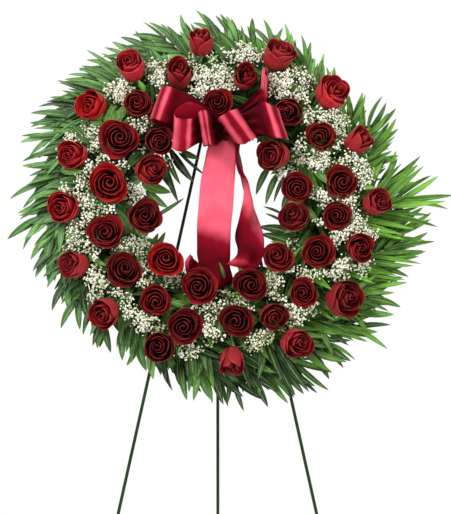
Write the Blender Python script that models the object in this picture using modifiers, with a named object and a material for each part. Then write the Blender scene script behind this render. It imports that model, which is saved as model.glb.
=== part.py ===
"""A standing funeral wreath: red roses, palm fronds and baby's breath on a foam ring, with a
satin bow, hung on a folding three-legged wire easel. Metres, +Z up, front towards -Y.

The front frame of the easel and the whole wreath share one leaning frame, the empty "wreath":
X to the right, Y up the slope, Z forward out of the flowers, and its origin on the front legs'
plane at the middle of the ring. Clock angles are counted from twelve o'clock, in degrees.
"""

import math

import bmesh
import bpy
from mathutils import Matrix, Vector

# Stance
CENTRE_X = -0.013          # the ring and the easel stand a little left of the leaves' middle
WREATH_HEIGHT = 1.112      # middle of the ring above the floor
LEAN = math.radians(12)    # the front frame and the wreath lean back by this
REAR_SPLAY = math.radians(12)
FRONT_FEET_Y = -0.274

# Wire easel, in the leaning frame
WIRE_R = 0.0032            # quarter-inch legs and crossbars
FOOT_SPREAD = 0.308        # each front foot from the middle
LEG_TOP_X = 0.0035
LEG_TOP_Y = 0.284
LOWER_BAR_Y = -0.258
HOOK_R = 0.0025
HOOK_Y = 0.1705
HOOK_X = 0.0145
HOOK_BACK = -0.015
HOOK_FRONT = 0.040
EYE_TURN = 235             # degrees of the eye round the hinge rod
GAP = 0.0003               # kept between pieces that touch
EYE_CLEARANCE = 0.0006

# Ring
RING_INNER = 0.175
RING_OUTER = 0.255
RING_STEPS = 40
TRAY_WALL = 0.0015
TRAY_RIM = 0.016
FOAM_SIDE = 0.030          # height of the foam's straight sides
FOAM_FRONT = 0.054
FOAM_SHOULDER = 0.014

# Roses
ROSE_STEPS = 9
STEM_R = 0.003
STEM_ROOT_DEPTH = 0.034    # where a stem ends inside the foam
CUT_CLEARANCE = 0.0005
BLOOM_HEIGHT = {"bud": 1.22, "half": 1.04, "open": 0.84}
# name of circle: depth of the blooms' middles, radius at which their stems are rooted
CIRCLES = {"inner": (0.112, 0.190), "middle": (0.100, 0.222), "outer": (0.092, 0.238)}
# clock angle, radius of the bloom's middle, bloom width, how far it has opened
ROSES = {
    "inner": (
        (0, 0.193, 0.060, "open"), (53, 0.143, 0.064, "half"), (82, 0.158, 0.062, "open"),
        (105, 0.159, 0.062, "open"), (135, 0.171, 0.062, "open"), (160, 0.186, 0.066, "open"),
        (191, 0.183, 0.072, "open"), (219, 0.163, 0.070, "open"), (255, 0.149, 0.070, "open"),
        (292, 0.147, 0.062, "half"), (315, 0.167, 0.058, "half"),
    ),
    "middle": (
        (13, 0.258, 0.052, "bud"), (38, 0.231, 0.058, "half"), (58, 0.244, 0.060, "open"),
        (82, 0.248, 0.065, "open"), (98, 0.241, 0.058, "open"), (118, 0.226, 0.066, "open"),
        (138, 0.255, 0.057, "open"), (155, 0.260, 0.056, "half"), (171, 0.247, 0.066, "open"),
        (194, 0.264, 0.070, "open"), (211, 0.238, 0.063, "open"), (232, 0.235, 0.070, "open"),
        (253, 0.230, 0.070, "open"), (278, 0.221, 0.080, "open"), (302, 0.233, 0.078, "open"),
        (321, 0.254, 0.056, "half"), (343, 0.266, 0.056, "bud"),
    ),
    "outer": (
        (22, 0.322, 0.064, "half"), (46, 0.317, 0.068, "half"), (67, 0.304, 0.050, "bud"),
        (91, 0.316, 0.056, "half"), (109, 0.298, 0.058, "half"), (129, 0.318, 0.074, "half"),
        (152, 0.326, 0.062, "half"), (175, 0.322, 0.048, "bud"), (201, 0.318, 0.064, "half"),
        (224, 0.317, 0.062, "half"), (245, 0.312, 0.058, "half"), (267, 0.304, 0.064, "half"),
        (288, 0.302, 0.060, "half"), (308, 0.317, 0.062, "half"), (328, 0.326, 0.064, "half"),
        (354, 0.326, 0.050, "bud"),
    ),
}

# Palm fronds: clock angle of each frond and how far its middle leaflets reach
FRONDS = (
    (1, 0.402), (18, 0.400), (33, 0.384), (46, 0.372), (55, 0.390), (63, 0.418), (74, 0.402),
    (85, 0.458), (98, 0.446), (114, 0.410), (127, 0.418), (141, 0.423), (155, 0.436),
    (170, 0.418), (184, 0.394), (198, 0.366), (212, 0.360), (224, 0.380), (237, 0.390),
    (252, 0.396), (265, 0.418), (276, 0.404), (288, 0.398), (299, 0.430), (311, 0.420),
    (323, 0.416), (340, 0.414), (352, 0.392),
)
PALM_SPRAYS = {
    "palm_fronds_upper": (304, 65),
    "palm_fronds_lower_right": (69, 176),
    "palm_fronds_lower_left": (180, 293),
}
LEAFLETS = 5
LEAFLET_STEP = 2.9         # degrees between leaflet tips
LEAFLET_ROOT = 0.335
PALM_INNER = 0.2545
PALM_THICKNESS = 0.003
PALM_LOW = 0.020
PALM_CROWN = 0.018

# Bow, in the leaning frame
KNOT = Vector((0.009, 0.135, 0.118))
RIBBON_WIDTH = 0.068
RIBBON_THICKNESS = 0.0012
KNOT_R = 0.013
# reach to right, up and forward, then the width's direction: right, up, forward; depth of loop
LOOPS = (
    ((-0.134, 0.054, 0.022), (-0.26, -0.95, 0.10), 0.046),
    ((-0.066, 0.016, 0.056), (-0.02, -0.98, 0.30), 0.050),
    ((-0.024, -0.002, 0.060), (0.10, -0.98, 0.20), 0.036),
    ((0.044, 0.012, 0.056), (0.52, -0.85, 0.20), 0.044),
    ((0.104, 0.022, 0.040), (0.46, -0.88, 0.10), 0.050),
    ((0.074, 0.094, 0.020), (-0.10, -0.97, 0.10), 0.028),
)
LOOP_STEPS = 14
PICK_R = 0.002
PICK_ROOT = Vector((0.028, 0.194, 0.038))

# Ribbon tails: middle of the ribbon (right, up, forward) and its turn about its own line
LEFT_TAIL = (
    ((0.005, 0.104, 0.110), 4), ((0.003, 0.060, 0.103), 2), ((-0.002, 0.005, 0.091), 0),
    ((-0.005, -0.040, 0.081), -2), ((-0.007, -0.085, 0.072), -4),
    ((-0.007, -0.125, 0.065), 0), ((-0.005, -0.158, 0.0630), 4),
)
RIGHT_TAIL = (
    ((0.050, 0.100, 0.110), 106), ((0.053, 0.070, 0.104), 102), ((0.058, 0.037, 0.097), 96),
    ((0.063, 0.010, 0.092), 84), ((0.065, -0.035, 0.086), 60), ((0.064, -0.080, 0.080), 34),
    ((0.064, -0.115, 0.077), 29), ((0.064, -0.142, 0.074), 27),
)


def clear_scene():
    for obj in list(bpy.data.objects):
        bpy.data.objects.remove(obj)


def new_collection(name):
    collection = bpy.data.collections.new(name)
    bpy.context.scene.collection.children.link(collection)
    return collection


def material(name, colour, roughness, metallic=0.0):
    mat = bpy.data.materials.new(name)
    mat.use_nodes = True
    shader = mat.node_tree.nodes["Principled BSDF"]
    shader.inputs["Base Color"].default_value = (*colour, 1.0)
    shader.inputs["Roughness"].default_value = roughness
    shader.inputs["Metallic"].default_value = metallic
    return mat


def add_object(name, mesh, mat, collection, parent=None):
    obj = bpy.data.objects.new(name, mesh)
    if mat:
        obj.data.materials.append(mat)
    obj.parent = parent
    collection.objects.link(obj)
    return obj


def turned(name, profile, steps, mat, collection, parent=None, closed=False):
    """A profile of (radius, height), outer side downwards, turned about Z with a Screw."""
    mesh = bpy.data.meshes.new(name)
    edges = [(i, i + 1) for i in range(len(profile) - 1)]
    if closed:
        edges.append((len(profile) - 1, 0))
    mesh.from_pydata([(radius, 0, height) for radius, height in profile], edges, [])
    obj = add_object(name, mesh, mat, collection, parent)
    screw = obj.modifiers.new("turn", "SCREW")
    screw.steps = steps
    screw.render_steps = steps
    screw.use_merge_vertices = True
    screw.merge_threshold = 0.00005
    return obj


def wire(name, points, radius, mat, collection, parent, bevel_resolution=2):
    """A round wire along points: a capped curve made a welded mesh."""
    curve = bpy.data.curves.new(name, "CURVE")
    curve.dimensions = "3D"
    curve.bevel_depth = radius
    curve.bevel_resolution = bevel_resolution
    curve.use_fill_caps = True
    spline = curve.splines.new("POLY")
    spline.points.add(len(points) - 1)
    for point, place in zip(spline.points, points):
        point.co = (*place, 1.0)
    obj = curve_to_mesh(name, curve)
    obj.data.materials.append(mat)
    obj.parent = parent
    collection.objects.link(obj)
    return obj


def curve_to_mesh(name, curve):
    """The curve as a mesh object with its caps welded on."""
    guide = bpy.data.objects.new(name + "_curve", curve)
    bpy.context.scene.collection.objects.link(guide)
    graph = bpy.context.evaluated_depsgraph_get()
    mesh = bpy.data.meshes.new_from_object(guide.evaluated_get(graph))
    bpy.data.objects.remove(guide)
    shape = bmesh.new()
    shape.from_mesh(mesh)
    bmesh.ops.remove_doubles(shape, verts=shape.verts, dist=0.00005)
    bmesh.ops.recalc_face_normals(shape, faces=shape.faces)
    shape.to_mesh(mesh)
    shape.free()
    mesh.name = name
    return bpy.data.objects.new(name, mesh)


def cut_foot_flat(leg, along):
    """Slides the lowest ring of a leg's vertices along the wire until it lies on the floor."""
    bpy.context.view_layer.update()
    world = leg.matrix_world
    back = world.inverted()
    heights = [(world @ vertex.co).z for vertex in leg.data.vertices]
    lowest = min(heights)
    for vertex, height in zip(leg.data.vertices, heights):
        if height < lowest + 4 * WIRE_R:
            place = world @ vertex.co
            vertex.co = back @ (place - along * (place.z / along.z))


def leaning_frame(collection):
    frame = bpy.data.objects.new("wreath", None)
    frame.location = (CENTRE_X, FRONT_FEET_Y + WREATH_HEIGHT * math.tan(LEAN), WREATH_HEIGHT)
    frame.rotation_euler = (math.pi / 2 - LEAN, 0, 0)
    collection.objects.link(frame)
    bpy.context.view_layer.update()
    return frame


# ---- easel ----

def hinge_y():
    """Height up the slope of the hinge rod, just under the hook's prongs."""
    return HOOK_Y - HOOK_R - GAP - WIRE_R


def leg_x(up_slope):
    """Distance of a front leg's middle line from the easel's middle at a place up the slope."""
    foot = -WREATH_HEIGHT / math.cos(LEAN)
    part = (up_slope - foot) / (LEG_TOP_Y - foot)
    return FOOT_SPREAD + part * (LEG_TOP_X - FOOT_SPREAD)


def front_leg(name, side, enamel, collection, frame):
    foot = Vector((side * FOOT_SPREAD, -WREATH_HEIGHT / math.cos(LEAN), 0))
    top = Vector((side * LEG_TOP_X, LEG_TOP_Y, 0))
    leg = wire(name, [foot, (foot + top) / 2, top], WIRE_R, enamel, collection, frame)
    cut_foot_flat(leg, (frame.matrix_world.to_3x3() @ (top - foot)).normalized())
    return leg


def crossbar(name, up_slope, enamel, collection, frame):
    """A rod that butts both legs; its ends keep a gap to the legs' sides."""
    slant = FOOT_SPREAD / (LEG_TOP_Y + WREATH_HEIGHT / math.cos(LEAN))
    half = leg_x(up_slope) - WIRE_R * (1.05 + slant) - GAP
    points = [(-half, up_slope, 0), (0, up_slope, 0), (half, up_slope, 0)]
    return wire(name, points, WIRE_R, enamel, collection, frame)


def wreath_hook(enamel, collection, frame):
    """A U of wire over the hinge rod, whose two prongs carry the ring's inner edge."""
    bend = 0.004
    right = [(HOOK_X, HOOK_Y, HOOK_FRONT), (HOOK_X, HOOK_Y, HOOK_BACK + bend)]
    corner = [(HOOK_X - bend * 0.3, HOOK_Y, HOOK_BACK + bend * 0.3)]
    right += corner + [(HOOK_X - bend, HOOK_Y, HOOK_BACK)]
    left = [(-x, y, z) for x, y, z in reversed(right)]
    return wire("wreath_hook", right + left, HOOK_R, enamel, collection, frame)


def rear_leg(enamel, collection, frame):
    """The rear leg in its own frame on the hinge: an eye round the rod, then the straight leg."""
    hinge = bpy.data.objects.new("rear_leg_hinge", None)
    hinge.location = frame.matrix_world @ Vector((0, hinge_y(), 0))
    hinge.rotation_euler = (REAR_SPLAY, 0, 0)
    collection.objects.link(hinge)
    bpy.context.view_layer.update()
    eye = 2 * WIRE_R + EYE_CLEARANCE
    turns = [math.radians(a) for a in range(EYE_TURN, -1, -19)]
    points = [(0, eye * math.cos(a), eye * math.sin(a)) for a in turns]
    length = (hinge.location.z + eye * math.sin(REAR_SPLAY)) / math.cos(REAR_SPLAY)
    points += [(0, eye, -0.03), (0, eye, -length / 2), (0, eye, -length)]
    leg = wire("rear_leg", points, WIRE_R, enamel, collection, hinge)
    along = hinge.matrix_world.to_3x3() @ Vector((0, 0, 1))
    cut_foot_flat(leg, along.normalized())
    return leg


# ---- ring ----

def ring_tray(plastic, collection, frame):
    """The moulded backing: a shallow U-shaped channel that holds the foam."""
    back = WIRE_R + GAP
    floor = back + TRAY_WALL
    profile = [
        (RING_OUTER, TRAY_RIM), (RING_OUTER, back), (RING_INNER, back), (RING_INNER, TRAY_RIM),
        (RING_INNER + TRAY_WALL, TRAY_RIM), (RING_INNER + TRAY_WALL, floor),
        (RING_OUTER - TRAY_WALL, floor), (RING_OUTER - TRAY_WALL, TRAY_RIM),
    ]
    return turned("ring_tray", profile, RING_STEPS, plastic, collection, frame, closed=True)


def foam_ring(foam, collection, frame):
    """The wet foam: a D-shaped section that stands in the tray."""
    inner = RING_INNER + TRAY_WALL + GAP
    outer = RING_OUTER - TRAY_WALL - GAP
    back = WIRE_R + TRAY_WALL + 2 * GAP
    shoulder = FOAM_FRONT - 0.008
    profile = [
        ((inner + outer) / 2, FOAM_FRONT), (outer - FOAM_SHOULDER, shoulder),
        (outer, FOAM_SIDE), (outer, back), (inner, back), (inner, FOAM_SIDE),
        (inner + FOAM_SHOULDER, shoulder),
    ]
    return turned("foam_ring", profile, RING_STEPS, foam, collection, frame, closed=True)


def babys_breath(florets, collection, frame):
    """The bed of baby's breath over the foam and under the blooms."""
    profile = [
        (0.205, 0.071), (0.250, 0.069), (0.285, 0.060), (0.318, 0.053), (0.338, 0.047),
        (0.334, 0.040), (0.300, 0.044), (0.262, 0.047), (0.242, 0.056), (0.188, 0.056),
        (0.182, 0.060), (0.188, 0.067),
    ]
    return turned("babys_breath", profile, RING_STEPS, florets, collection, frame, closed=True)


# ---- roses ----

def bloom_profile(width, opening, stem_length, grow=0.0):
    """Half section of a rose, from the dip of its bloom to the foot of its stem."""
    radius = width / 2
    height = width * BLOOM_HEIGHT[opening]
    rim = {"bud": 0.80, "half": 0.94, "open": 0.98}[opening]
    mouth = {"bud": 0.34, "half": 0.52, "open": 0.64}[opening]
    stem = STEM_R + grow
    return [
        (0, 0.34 * height + grow),
        (mouth * radius, 0.50 * height + grow),
        (rim * radius + grow, 0.36 * height + grow),
        (radius + grow, 0.12 * height),
        (0.74 * radius + grow, -0.24 * height - grow),
        (0.26 * radius + grow, -0.48 * height - grow),
        (stem, -0.50 * height - 0.010 - grow),
        (stem, -stem_length - grow),
        (0, -stem_length - grow),
    ]


def rose_axis(circle, radius):
    """Outward tilt of a rose and the distance from its bloom's middle to its stem's root."""
    depth, root = CIRCLES[circle]
    outward = radius - root
    forward = depth - STEM_ROOT_DEPTH
    return math.atan2(outward, forward), math.hypot(outward, forward)


def roses(petals, collection, cutters, frame):
    """Every rose on its stem, and for each a slightly grown copy that cuts its hole."""
    count = 0
    for circle, rows in ROSES.items():
        for clock, radius, width, opening in rows:
            count += 1
            angle = math.radians(clock)
            tilt, reach = rose_axis(circle, radius)
            outward = Vector((math.sin(angle), math.cos(angle), 0))
            place = Matrix.Translation(outward * radius + Vector((0, 0, CIRCLES[circle][0])))
            lean = Matrix.Rotation(tilt, 4, Vector((outward.y, -outward.x, 0)) * -1)
            name = f"rose_{count:02d}"
            for grow, home in ((0.0, collection), (CUT_CLEARANCE, cutters)):
                profile = bloom_profile(width, opening, reach, grow)
                title = name if home is collection else name + "_cutter"
                rose = turned(title, profile, ROSE_STEPS, petals, home, frame)
                rose.matrix_local = place @ lean
                if home is cutters:
                    rose.hide_render = True
                    rose.display_type = "WIRE"


def cut_with(obj, cutters):
    cut = obj.modifiers.new("stem_holes", "BOOLEAN")
    cut.operation = "DIFFERENCE"
    cut.solver = "EXACT"
    cut.operand_type = "COLLECTION"
    cut.collection = cutters


# ---- palm fronds ----

def polar(radius, clock):
    angle = math.radians(clock)
    return radius * math.sin(angle), radius * math.cos(angle)


def leaflet_tips(first, last):
    """Tips of the leaflets of every frond between two clock angles, in order."""
    span = (last - first) % 360
    tips = []
    for clock, reach in FRONDS:
        for k in range(LEAFLETS):
            off = k - (LEAFLETS - 1) / 2
            turn = (clock + off * LEAFLET_STEP - first) % 360
            if turn < span:
                tips.append((turn, reach * (1 - 0.022 * off * off)))
    return sorted(tips)


def palm_spray(name, first, last, leaf, collection, frame):
    """One third of the fronds: a band round the foam with a fringe of leaflets."""
    tips = leaflet_tips(first, last)
    span = (last - first) % 360
    outline = [polar(LEAFLET_ROOT, first)]
    for (turn, reach), (turn_next, _) in zip(tips, tips[1:] + [(span, 0)]):
        outline.append(polar(reach, first + turn))
        if turn_next - turn > 1.2:
            outline.append(polar(LEAFLET_ROOT, first + (turn + turn_next) / 2))
    steps = round(span / 6)
    outline += [polar(PALM_INNER, first + span * i / steps) for i in range(steps, -1, -1)]
    curve = bpy.data.curves.new(name, "CURVE")
    curve.dimensions = "2D"
    curve.fill_mode = "BOTH"
    curve.extrude = PALM_THICKNESS / 2
    spline = curve.splines.new("POLY")
    spline.points.add(len(outline) - 1)
    spline.use_cyclic_u = True
    for point, (x, y) in zip(spline.points, outline):
        point.co = (x, y, 0, 1)
    obj = curve_to_mesh(name, curve)
    for vertex in obj.data.vertices:
        radius = math.hypot(vertex.co.x, vertex.co.y)
        out = (radius - PALM_INNER) / (LEAFLET_ROOT - PALM_INNER)
        arch = math.sin(min(out, 1.9) * math.pi / 2.1)
        vertex.co.z += PALM_LOW + PALM_CROWN * arch
    obj.data.materials.append(leaf)
    obj.parent = frame
    collection.objects.link(obj)
    return obj


# ---- bow and tails ----

def grid_mesh(name, rows):
    """An open sheet through rows of points."""
    wide = len(rows[0])
    faces = []
    for i in range(len(rows) - 1):
        for j in range(wide - 1):
            a = i * wide + j
            faces.append((a, a + 1, a + wide + 1, a + wide))
    mesh = bpy.data.meshes.new(name)
    mesh.from_pydata([point for row in rows for point in row], [], faces)
    return mesh


def thicken(obj, thickness):
    solid = obj.modifiers.new("cloth", "SOLIDIFY")
    solid.thickness = thickness
    solid.offset = 0


def loop_rows(reach, width_way, depth):
    """One loop of ribbon, out of the knot along its back, round its end and home in front."""
    reach = Vector(reach)
    width_way = Vector(width_way).normalized()
    side = reach.cross(width_way).normalized()
    if side.z < 0:
        side = -side
    rows = []
    for i in range(LOOP_STEPS + 1):
        turn = 2 * math.pi * i / LOOP_STEPS
        out = (1 - math.cos(turn)) / 2
        bulge = -math.sin(turn) * math.sqrt(out) * depth / 2
        centre = KNOT + reach * out + side * bulge
        half = width_way * RIBBON_WIDTH / 2 * (0.22 + 0.78 * min(1, out * 1.6))
        rows.append([centre - half, centre, centre + half])
    return rows


def bow_loops(satin, collection, cutters, frame):
    """Six loops of one ribbon, joined where they are gathered at the knot."""
    gather = bmesh.new()
    bmesh.ops.create_icosphere(gather, subdivisions=2, radius=KNOT_R)
    mesh = bpy.data.meshes.new("bow_loops")
    gather.to_mesh(mesh)
    gather.free()
    mesh.transform(Matrix.Translation(KNOT))
    bow = add_object("bow_loops", mesh, satin, collection, frame)
    for number, (reach, width_way, depth) in enumerate(LOOPS, 1):
        name = f"bow_loop_{number}"
        loop = add_object(name, grid_mesh(name, loop_rows(reach, width_way, depth)), satin,
                          cutters, frame)
        thicken(loop, RIBBON_THICKNESS)
        loop.hide_render = True
        loop.display_type = "WIRE"
        join = bow.modifiers.new(name, "BOOLEAN")
        join.operation = "UNION"
        join.solver = "EXACT"
        join.use_self = True
        join.object = loop
    return bow


def bow_pick(wood, collection, cutters, frame):
    """The pick behind the knot, pushed into the foam, and a thicker one that cuts its hole."""
    way = (PICK_ROOT - KNOT).normalized()
    start = KNOT + way * (KNOT_R + 0.001)
    end = PICK_ROOT + way * CUT_CLEARANCE
    wire("bow_pick", [start, PICK_ROOT], PICK_R, wood, collection, frame)
    cutter = wire("bow_pick_cutter", [start, end], PICK_R + CUT_CLEARANCE, wood, cutters, frame)
    cutter.hide_render = True
    cutter.display_type = "WIRE"


def tail_rows(route):
    rows = []
    for (place, turn) in route:
        half = Vector((math.cos(math.radians(turn)), 0, math.sin(math.radians(turn))))
        half *= RIBBON_WIDTH / 2
        rows.append([Vector(place) - half, Vector(place), Vector(place) + half])
    return rows


def ribbon_tail(name, route, satin, collection, frame):
    tail = add_object(name, grid_mesh(name, tail_rows(route)), satin, collection, frame)
    thicken(tail, RIBBON_THICKNESS)
    return tail


def main():
    clear_scene()
    parts = new_collection("funeral_wreath")
    stem_cutters = new_collection("stem_cutters")
    helpers = new_collection("bow_helpers")
    enamel = material("green_enamel", (0.014, 0.069, 0.016), 0.35)
    plastic = material("green_plastic", (0.02, 0.09, 0.03), 0.5)
    foam = material("wet_foam", (0.03, 0.11, 0.04), 0.95)
    petals = material("red_petals", (0.22, 0.005, 0.010), 0.6)
    leaf = material("palm_leaf", (0.06, 0.23, 0.04), 0.45)
    florets = material("white_florets", (0.85, 0.83, 0.70), 0.8)
    satin = material("crimson_satin", (0.42, 0.012, 0.045), 0.3)
    wood = material("pick_wood", (0.45, 0.30, 0.15), 0.7)

    frame = leaning_frame(parts)
    front_leg("left_front_leg", -1, enamel, parts, frame)
    front_leg("right_front_leg", 1, enamel, parts, frame)
    crossbar("upper_crossbar", hinge_y(), enamel, parts, frame)
    crossbar("lower_crossbar", LOWER_BAR_Y, enamel, parts, frame)
    wreath_hook(enamel, parts, frame)
    rear_leg(enamel, parts, frame)

    ring_tray(plastic, parts, frame)
    roses(petals, parts, stem_cutters, frame)
    bow_pick(wood, parts, stem_cutters, frame)
    for bed in (foam_ring(foam, parts, frame), babys_breath(florets, parts, frame)):
        cut_with(bed, stem_cutters)
    for name, (first, last) in PALM_SPRAYS.items():
        palm_spray(name, first, last, leaf, parts, frame)

    bow_loops(satin, parts, helpers, frame)
    ribbon_tail("ribbon_tail_left", LEFT_TAIL, satin, parts, frame)
    ribbon_tail("ribbon_tail_right", RIGHT_TAIL, satin, parts, frame)
    for obj in parts.objects:
        if obj.type == "MESH":
            obj.data.shade_smooth()


main()
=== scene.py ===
"""A standing funeral wreath: red roses, palm, baby's breath and a satin bow on a wire easel."""
import math

import bmesh
import bpy
import numpy as np
from mathutils import Matrix, Vector


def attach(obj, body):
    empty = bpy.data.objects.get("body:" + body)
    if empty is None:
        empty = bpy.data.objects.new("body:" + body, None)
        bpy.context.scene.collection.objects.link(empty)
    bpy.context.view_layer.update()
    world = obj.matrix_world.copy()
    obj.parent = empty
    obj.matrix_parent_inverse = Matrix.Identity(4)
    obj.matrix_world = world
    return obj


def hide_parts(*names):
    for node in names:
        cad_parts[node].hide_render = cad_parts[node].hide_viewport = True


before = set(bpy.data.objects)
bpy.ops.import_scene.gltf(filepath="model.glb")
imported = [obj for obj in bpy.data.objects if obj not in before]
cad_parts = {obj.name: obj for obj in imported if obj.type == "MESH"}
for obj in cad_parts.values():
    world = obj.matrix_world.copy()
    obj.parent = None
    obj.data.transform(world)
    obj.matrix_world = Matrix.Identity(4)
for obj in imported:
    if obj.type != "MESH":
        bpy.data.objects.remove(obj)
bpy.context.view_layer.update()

bl_info = {
    "name": "Funeral Wreath",
    "version": (1, 0, 0),
    "blender": (4, 5, 0),
    "location": "3D View > Sidebar > Wreath",
    "description": "Dresses the wreath's solids with roses, leaves, florets and ribbon",
    "category": "Object",
}

MM = 0.001
TRAY_BACK = 0.0035     # the tray's back stands this far in front of the legs' middle plane
FOAM_INNER, FOAM_OUTER, FOAM_FRONT = 0.177, 0.253, 0.054
LEAN_SLOPE = 0.2125    # how far the leaning wreath goes back for each metre up

# The bloom's half section in the solids, as shares of its height.
BLOOM_TOP, BLOOM_WIDEST, BLOOM_FOOT = 0.50, 0.12, -0.48
BUD_RATIO, OPEN_RATIO = 1.22, 0.84       # height by width of a bud and of an open rose
GOLDEN_ANGLE = math.radians(137.5)       # the turn from one petal to the next
SEPALS, SEPAL_LENGTH, SEPAL_WIDTH, SEPAL_THICKNESS = 5, 0.028, 0.007, 0.0006
ROSE_STEM_RADIUS = 0.0026
# The calyx under a bloom: how far along the bloom's axis from its foot, and how thick.
CALYX = ((0.004, 0.0048), (-0.003, 0.0056), (-0.008, 0.0040))
# Blooms whose petals are scarlet, deeper than the rest, or lighter than the rest.
SCARLET_ROSES = (8, 25, 42)
DEEP_ROSES = (4, 6, 9, 19, 20, 21, 23, 34, 37)
LIGHT_ROSES = (12, 26, 27, 30, 40, 41, 43)
DEEP_VALUE, USUAL_VALUE, LIGHT_VALUE = 0.62, 0.92, 1.35

# Blooms that don't look straight ahead: how far their middle axis points right and up,
# as shares of its length.
FACING = {
    2: (-.47, 0), 4: (-.25, .40), 5: (-.09, .23), 9: (.28, .23), 10: (.44, .11), 11: (.16, 0),
    12: (0, .28), 13: (0, -.20), 19: (.24, -.12), 23: (.08, .16), 24: (0, .24), 28: (0, .52),
    29: (.36, .72), 30: (.44, .44), 31: (.62, .50), 32: (.49, .33), 33: (.24, 0),
    34: (.50, 0), 35: (.44, -.19), 36: (-.08, -.74), 38: (-.44, -.22), 39: (-.67, .08),
    40: (-.32, .07), 41: (-.38, .11), 42: (-.48, .07), 43: (-.21, .62), 44: (0, .70),
}

# Each palm frond: the clock angle of its stalk's tip in degrees from the top, that tip's distance
# from the ring's middle, the way it points, and the length of its longest leaflet.
FRONDS = (
    (359, .352, 326, .076), (5, .354, 334, .076), (12, .342, 338, .076), (18, .348, 346, .078),
    (25, .348, 352, .078), (31, .340, 358, .076), (37, .336, 4, .074), (44, .326, 10, .070),
    (50, .314, 18, .068), (56, .326, 22, .076), (62, .346, 30, .090), (68, .336, 36, .088),
    (74, .322, 42, .080), (82, .336, 44, .110), (88, .362, 66, .134), (93, .334, 58, .096),
    (98, .354, 58, .104), (103, .358, 62, .106), (107, .352, 66, .098), (112, .340, 70, .086),
    (118, .346, 74, .088), (122, .350, 80, .088), (127, .350, 88, .084),
    (132, .366, 94, .086), (137, .330, 100, .074), (142, .350, 118, .080),
    (148, .346, 118, .084), (154, .356, 126, .090), (158, .350, 146, .086),
    (164, .350, 142, .082), (169, .346, 146, .082), (175, .350, 154, .082),
    (180, .344, 156, .078), (186, .340, 162, .076), (192, .336, 168, .074),
    (198, .326, 174, .070), (204, .318, 180, .068), (210, .316, 186, .068),
    (216, .310, 190, .066), (224, .326, 200, .068), (230, .318, 204, .068),
    (236, .334, 208, .072), (243, .334, 214, .072), (249, .330, 214, .076),
    (255, .338, 218, .082), (261, .332, 222, .084), (267, .346, 240, .098),
    (273, .338, 236, .090), (279, .344, 248, .094), (285, .340, 254, .092),
    (290, .338, 254, .088), (295, .354, 260, .098), (301, .358, 270, .096),
    (306, .356, 274, .092), (312, .354, 278, .088), (318, .354, 284, .086),
    (324, .356, 290, .086), (331, .352, 296, .082), (337, .356, 300, .082),
    (343, .360, 306, .082), (351, .350, 316, .078),
)
# How a frond that lies under another differs: its clock angle, reach, length and heading.
UNDER_TURN, UNDER_REACH, UNDER_LENGTH, UNDER_HEADING = 3.5, 0.92, 0.88, (-12, 14)
AIRY_CLOCKS = ((256, 304), (58, 92))     # the left, and the right above the middle
BOTTOM_CLOCKS = (150, 215)
FROND_LENGTH = 0.13                      # about how long a frond is
# Its stalk leaves the foam so far from the ring's middle and so high over the tray.
FROND_ROOTS, FROND_HEIGHT, UNDER_DROP = (0.21, 0.235), 0.032, 0.012
STALK_RADIUS, STALK_TAPER = 0.0021, 0.0009
SICKLE = 0.8                             # how many of its widths a leaflet curves sideways
# How far from the ring's middle filler leaves stand: facing in, facing out, or along it.
FILLER_IN, FILLER_OUT, FILLER_ALONG = (0.176, 0.204), (0.20, 0.262), (0.184, 0.222)
FILLER_HEIGHTS, FILLER_WIDTHS = (0.040, 0.054), (0.013, 0.021)
SHORT_FILLER, LONG_FILLER = (0.034, 0.052), (0.055, 0.085)
# The leaves of the two tables below: their roots' height over the tray and their tips' rise.
INNER_HEIGHT, INNER_RISE = 0.050, 0.008
LIGHT_HEIGHT, LIGHT_RISE = 0.085, 0.016
# Leaflets that hang into the ring's hole: root, tip, width and how light they are.
INNER_LEAVES = (
    ((-.112, .100), (-.088, -.002), .014, .04), ((-.104, .105), (-.084, .039), .012, .24),
    ((-.094, .112), (-.058, .036), .018, .04), ((-.078, .108), (-.029, .056), .007, .02),
    ((-.072, .112), (-.044, .086), .014, .28), ((-.118, .090), (-.104, .030), .014, .08),
    ((-.128, -.026), (-.066, .006), .008, .02), ((-.150, .048), (-.106, .010), .024, .40),
    ((-.142, .030), (-.110, -.016), .018, .26), ((-.136, -.088), (-.112, -.066), .012, .24),
    ((-.128, -.092), (-.098, -.064), .012, .20), ((.104, .078), (.068, .026), .014, .12),
    ((.122, .066), (.088, .006), .013, .22), ((.134, .060), (.106, .004), .008, .02),
    ((.128, -.018), (.092, .000), .006, .02), ((.130, -.034), (.096, -.014), .006, .02),
    ((.160, -.064), (.086, -.030), .022, .06), ((.156, -.084), (.096, -.048), .020, .14),
    ((.150, .030), (.120, -.006), .014, .04), ((.122, -.104), (.098, -.080), .018, .08),
    ((-.006, -.168), (.002, -.130), .014, .34), ((.020, -.170), (.010, -.142), .012, .12),
    ((.108, -.158), (.074, -.134), .020, .06), ((.066, -.170), (.094, -.142), .018, .10),
    ((.030, -.176), (.036, -.142), .020, .08), ((-.078, -.168), (-.060, -.146), .016, .08),
)
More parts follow.
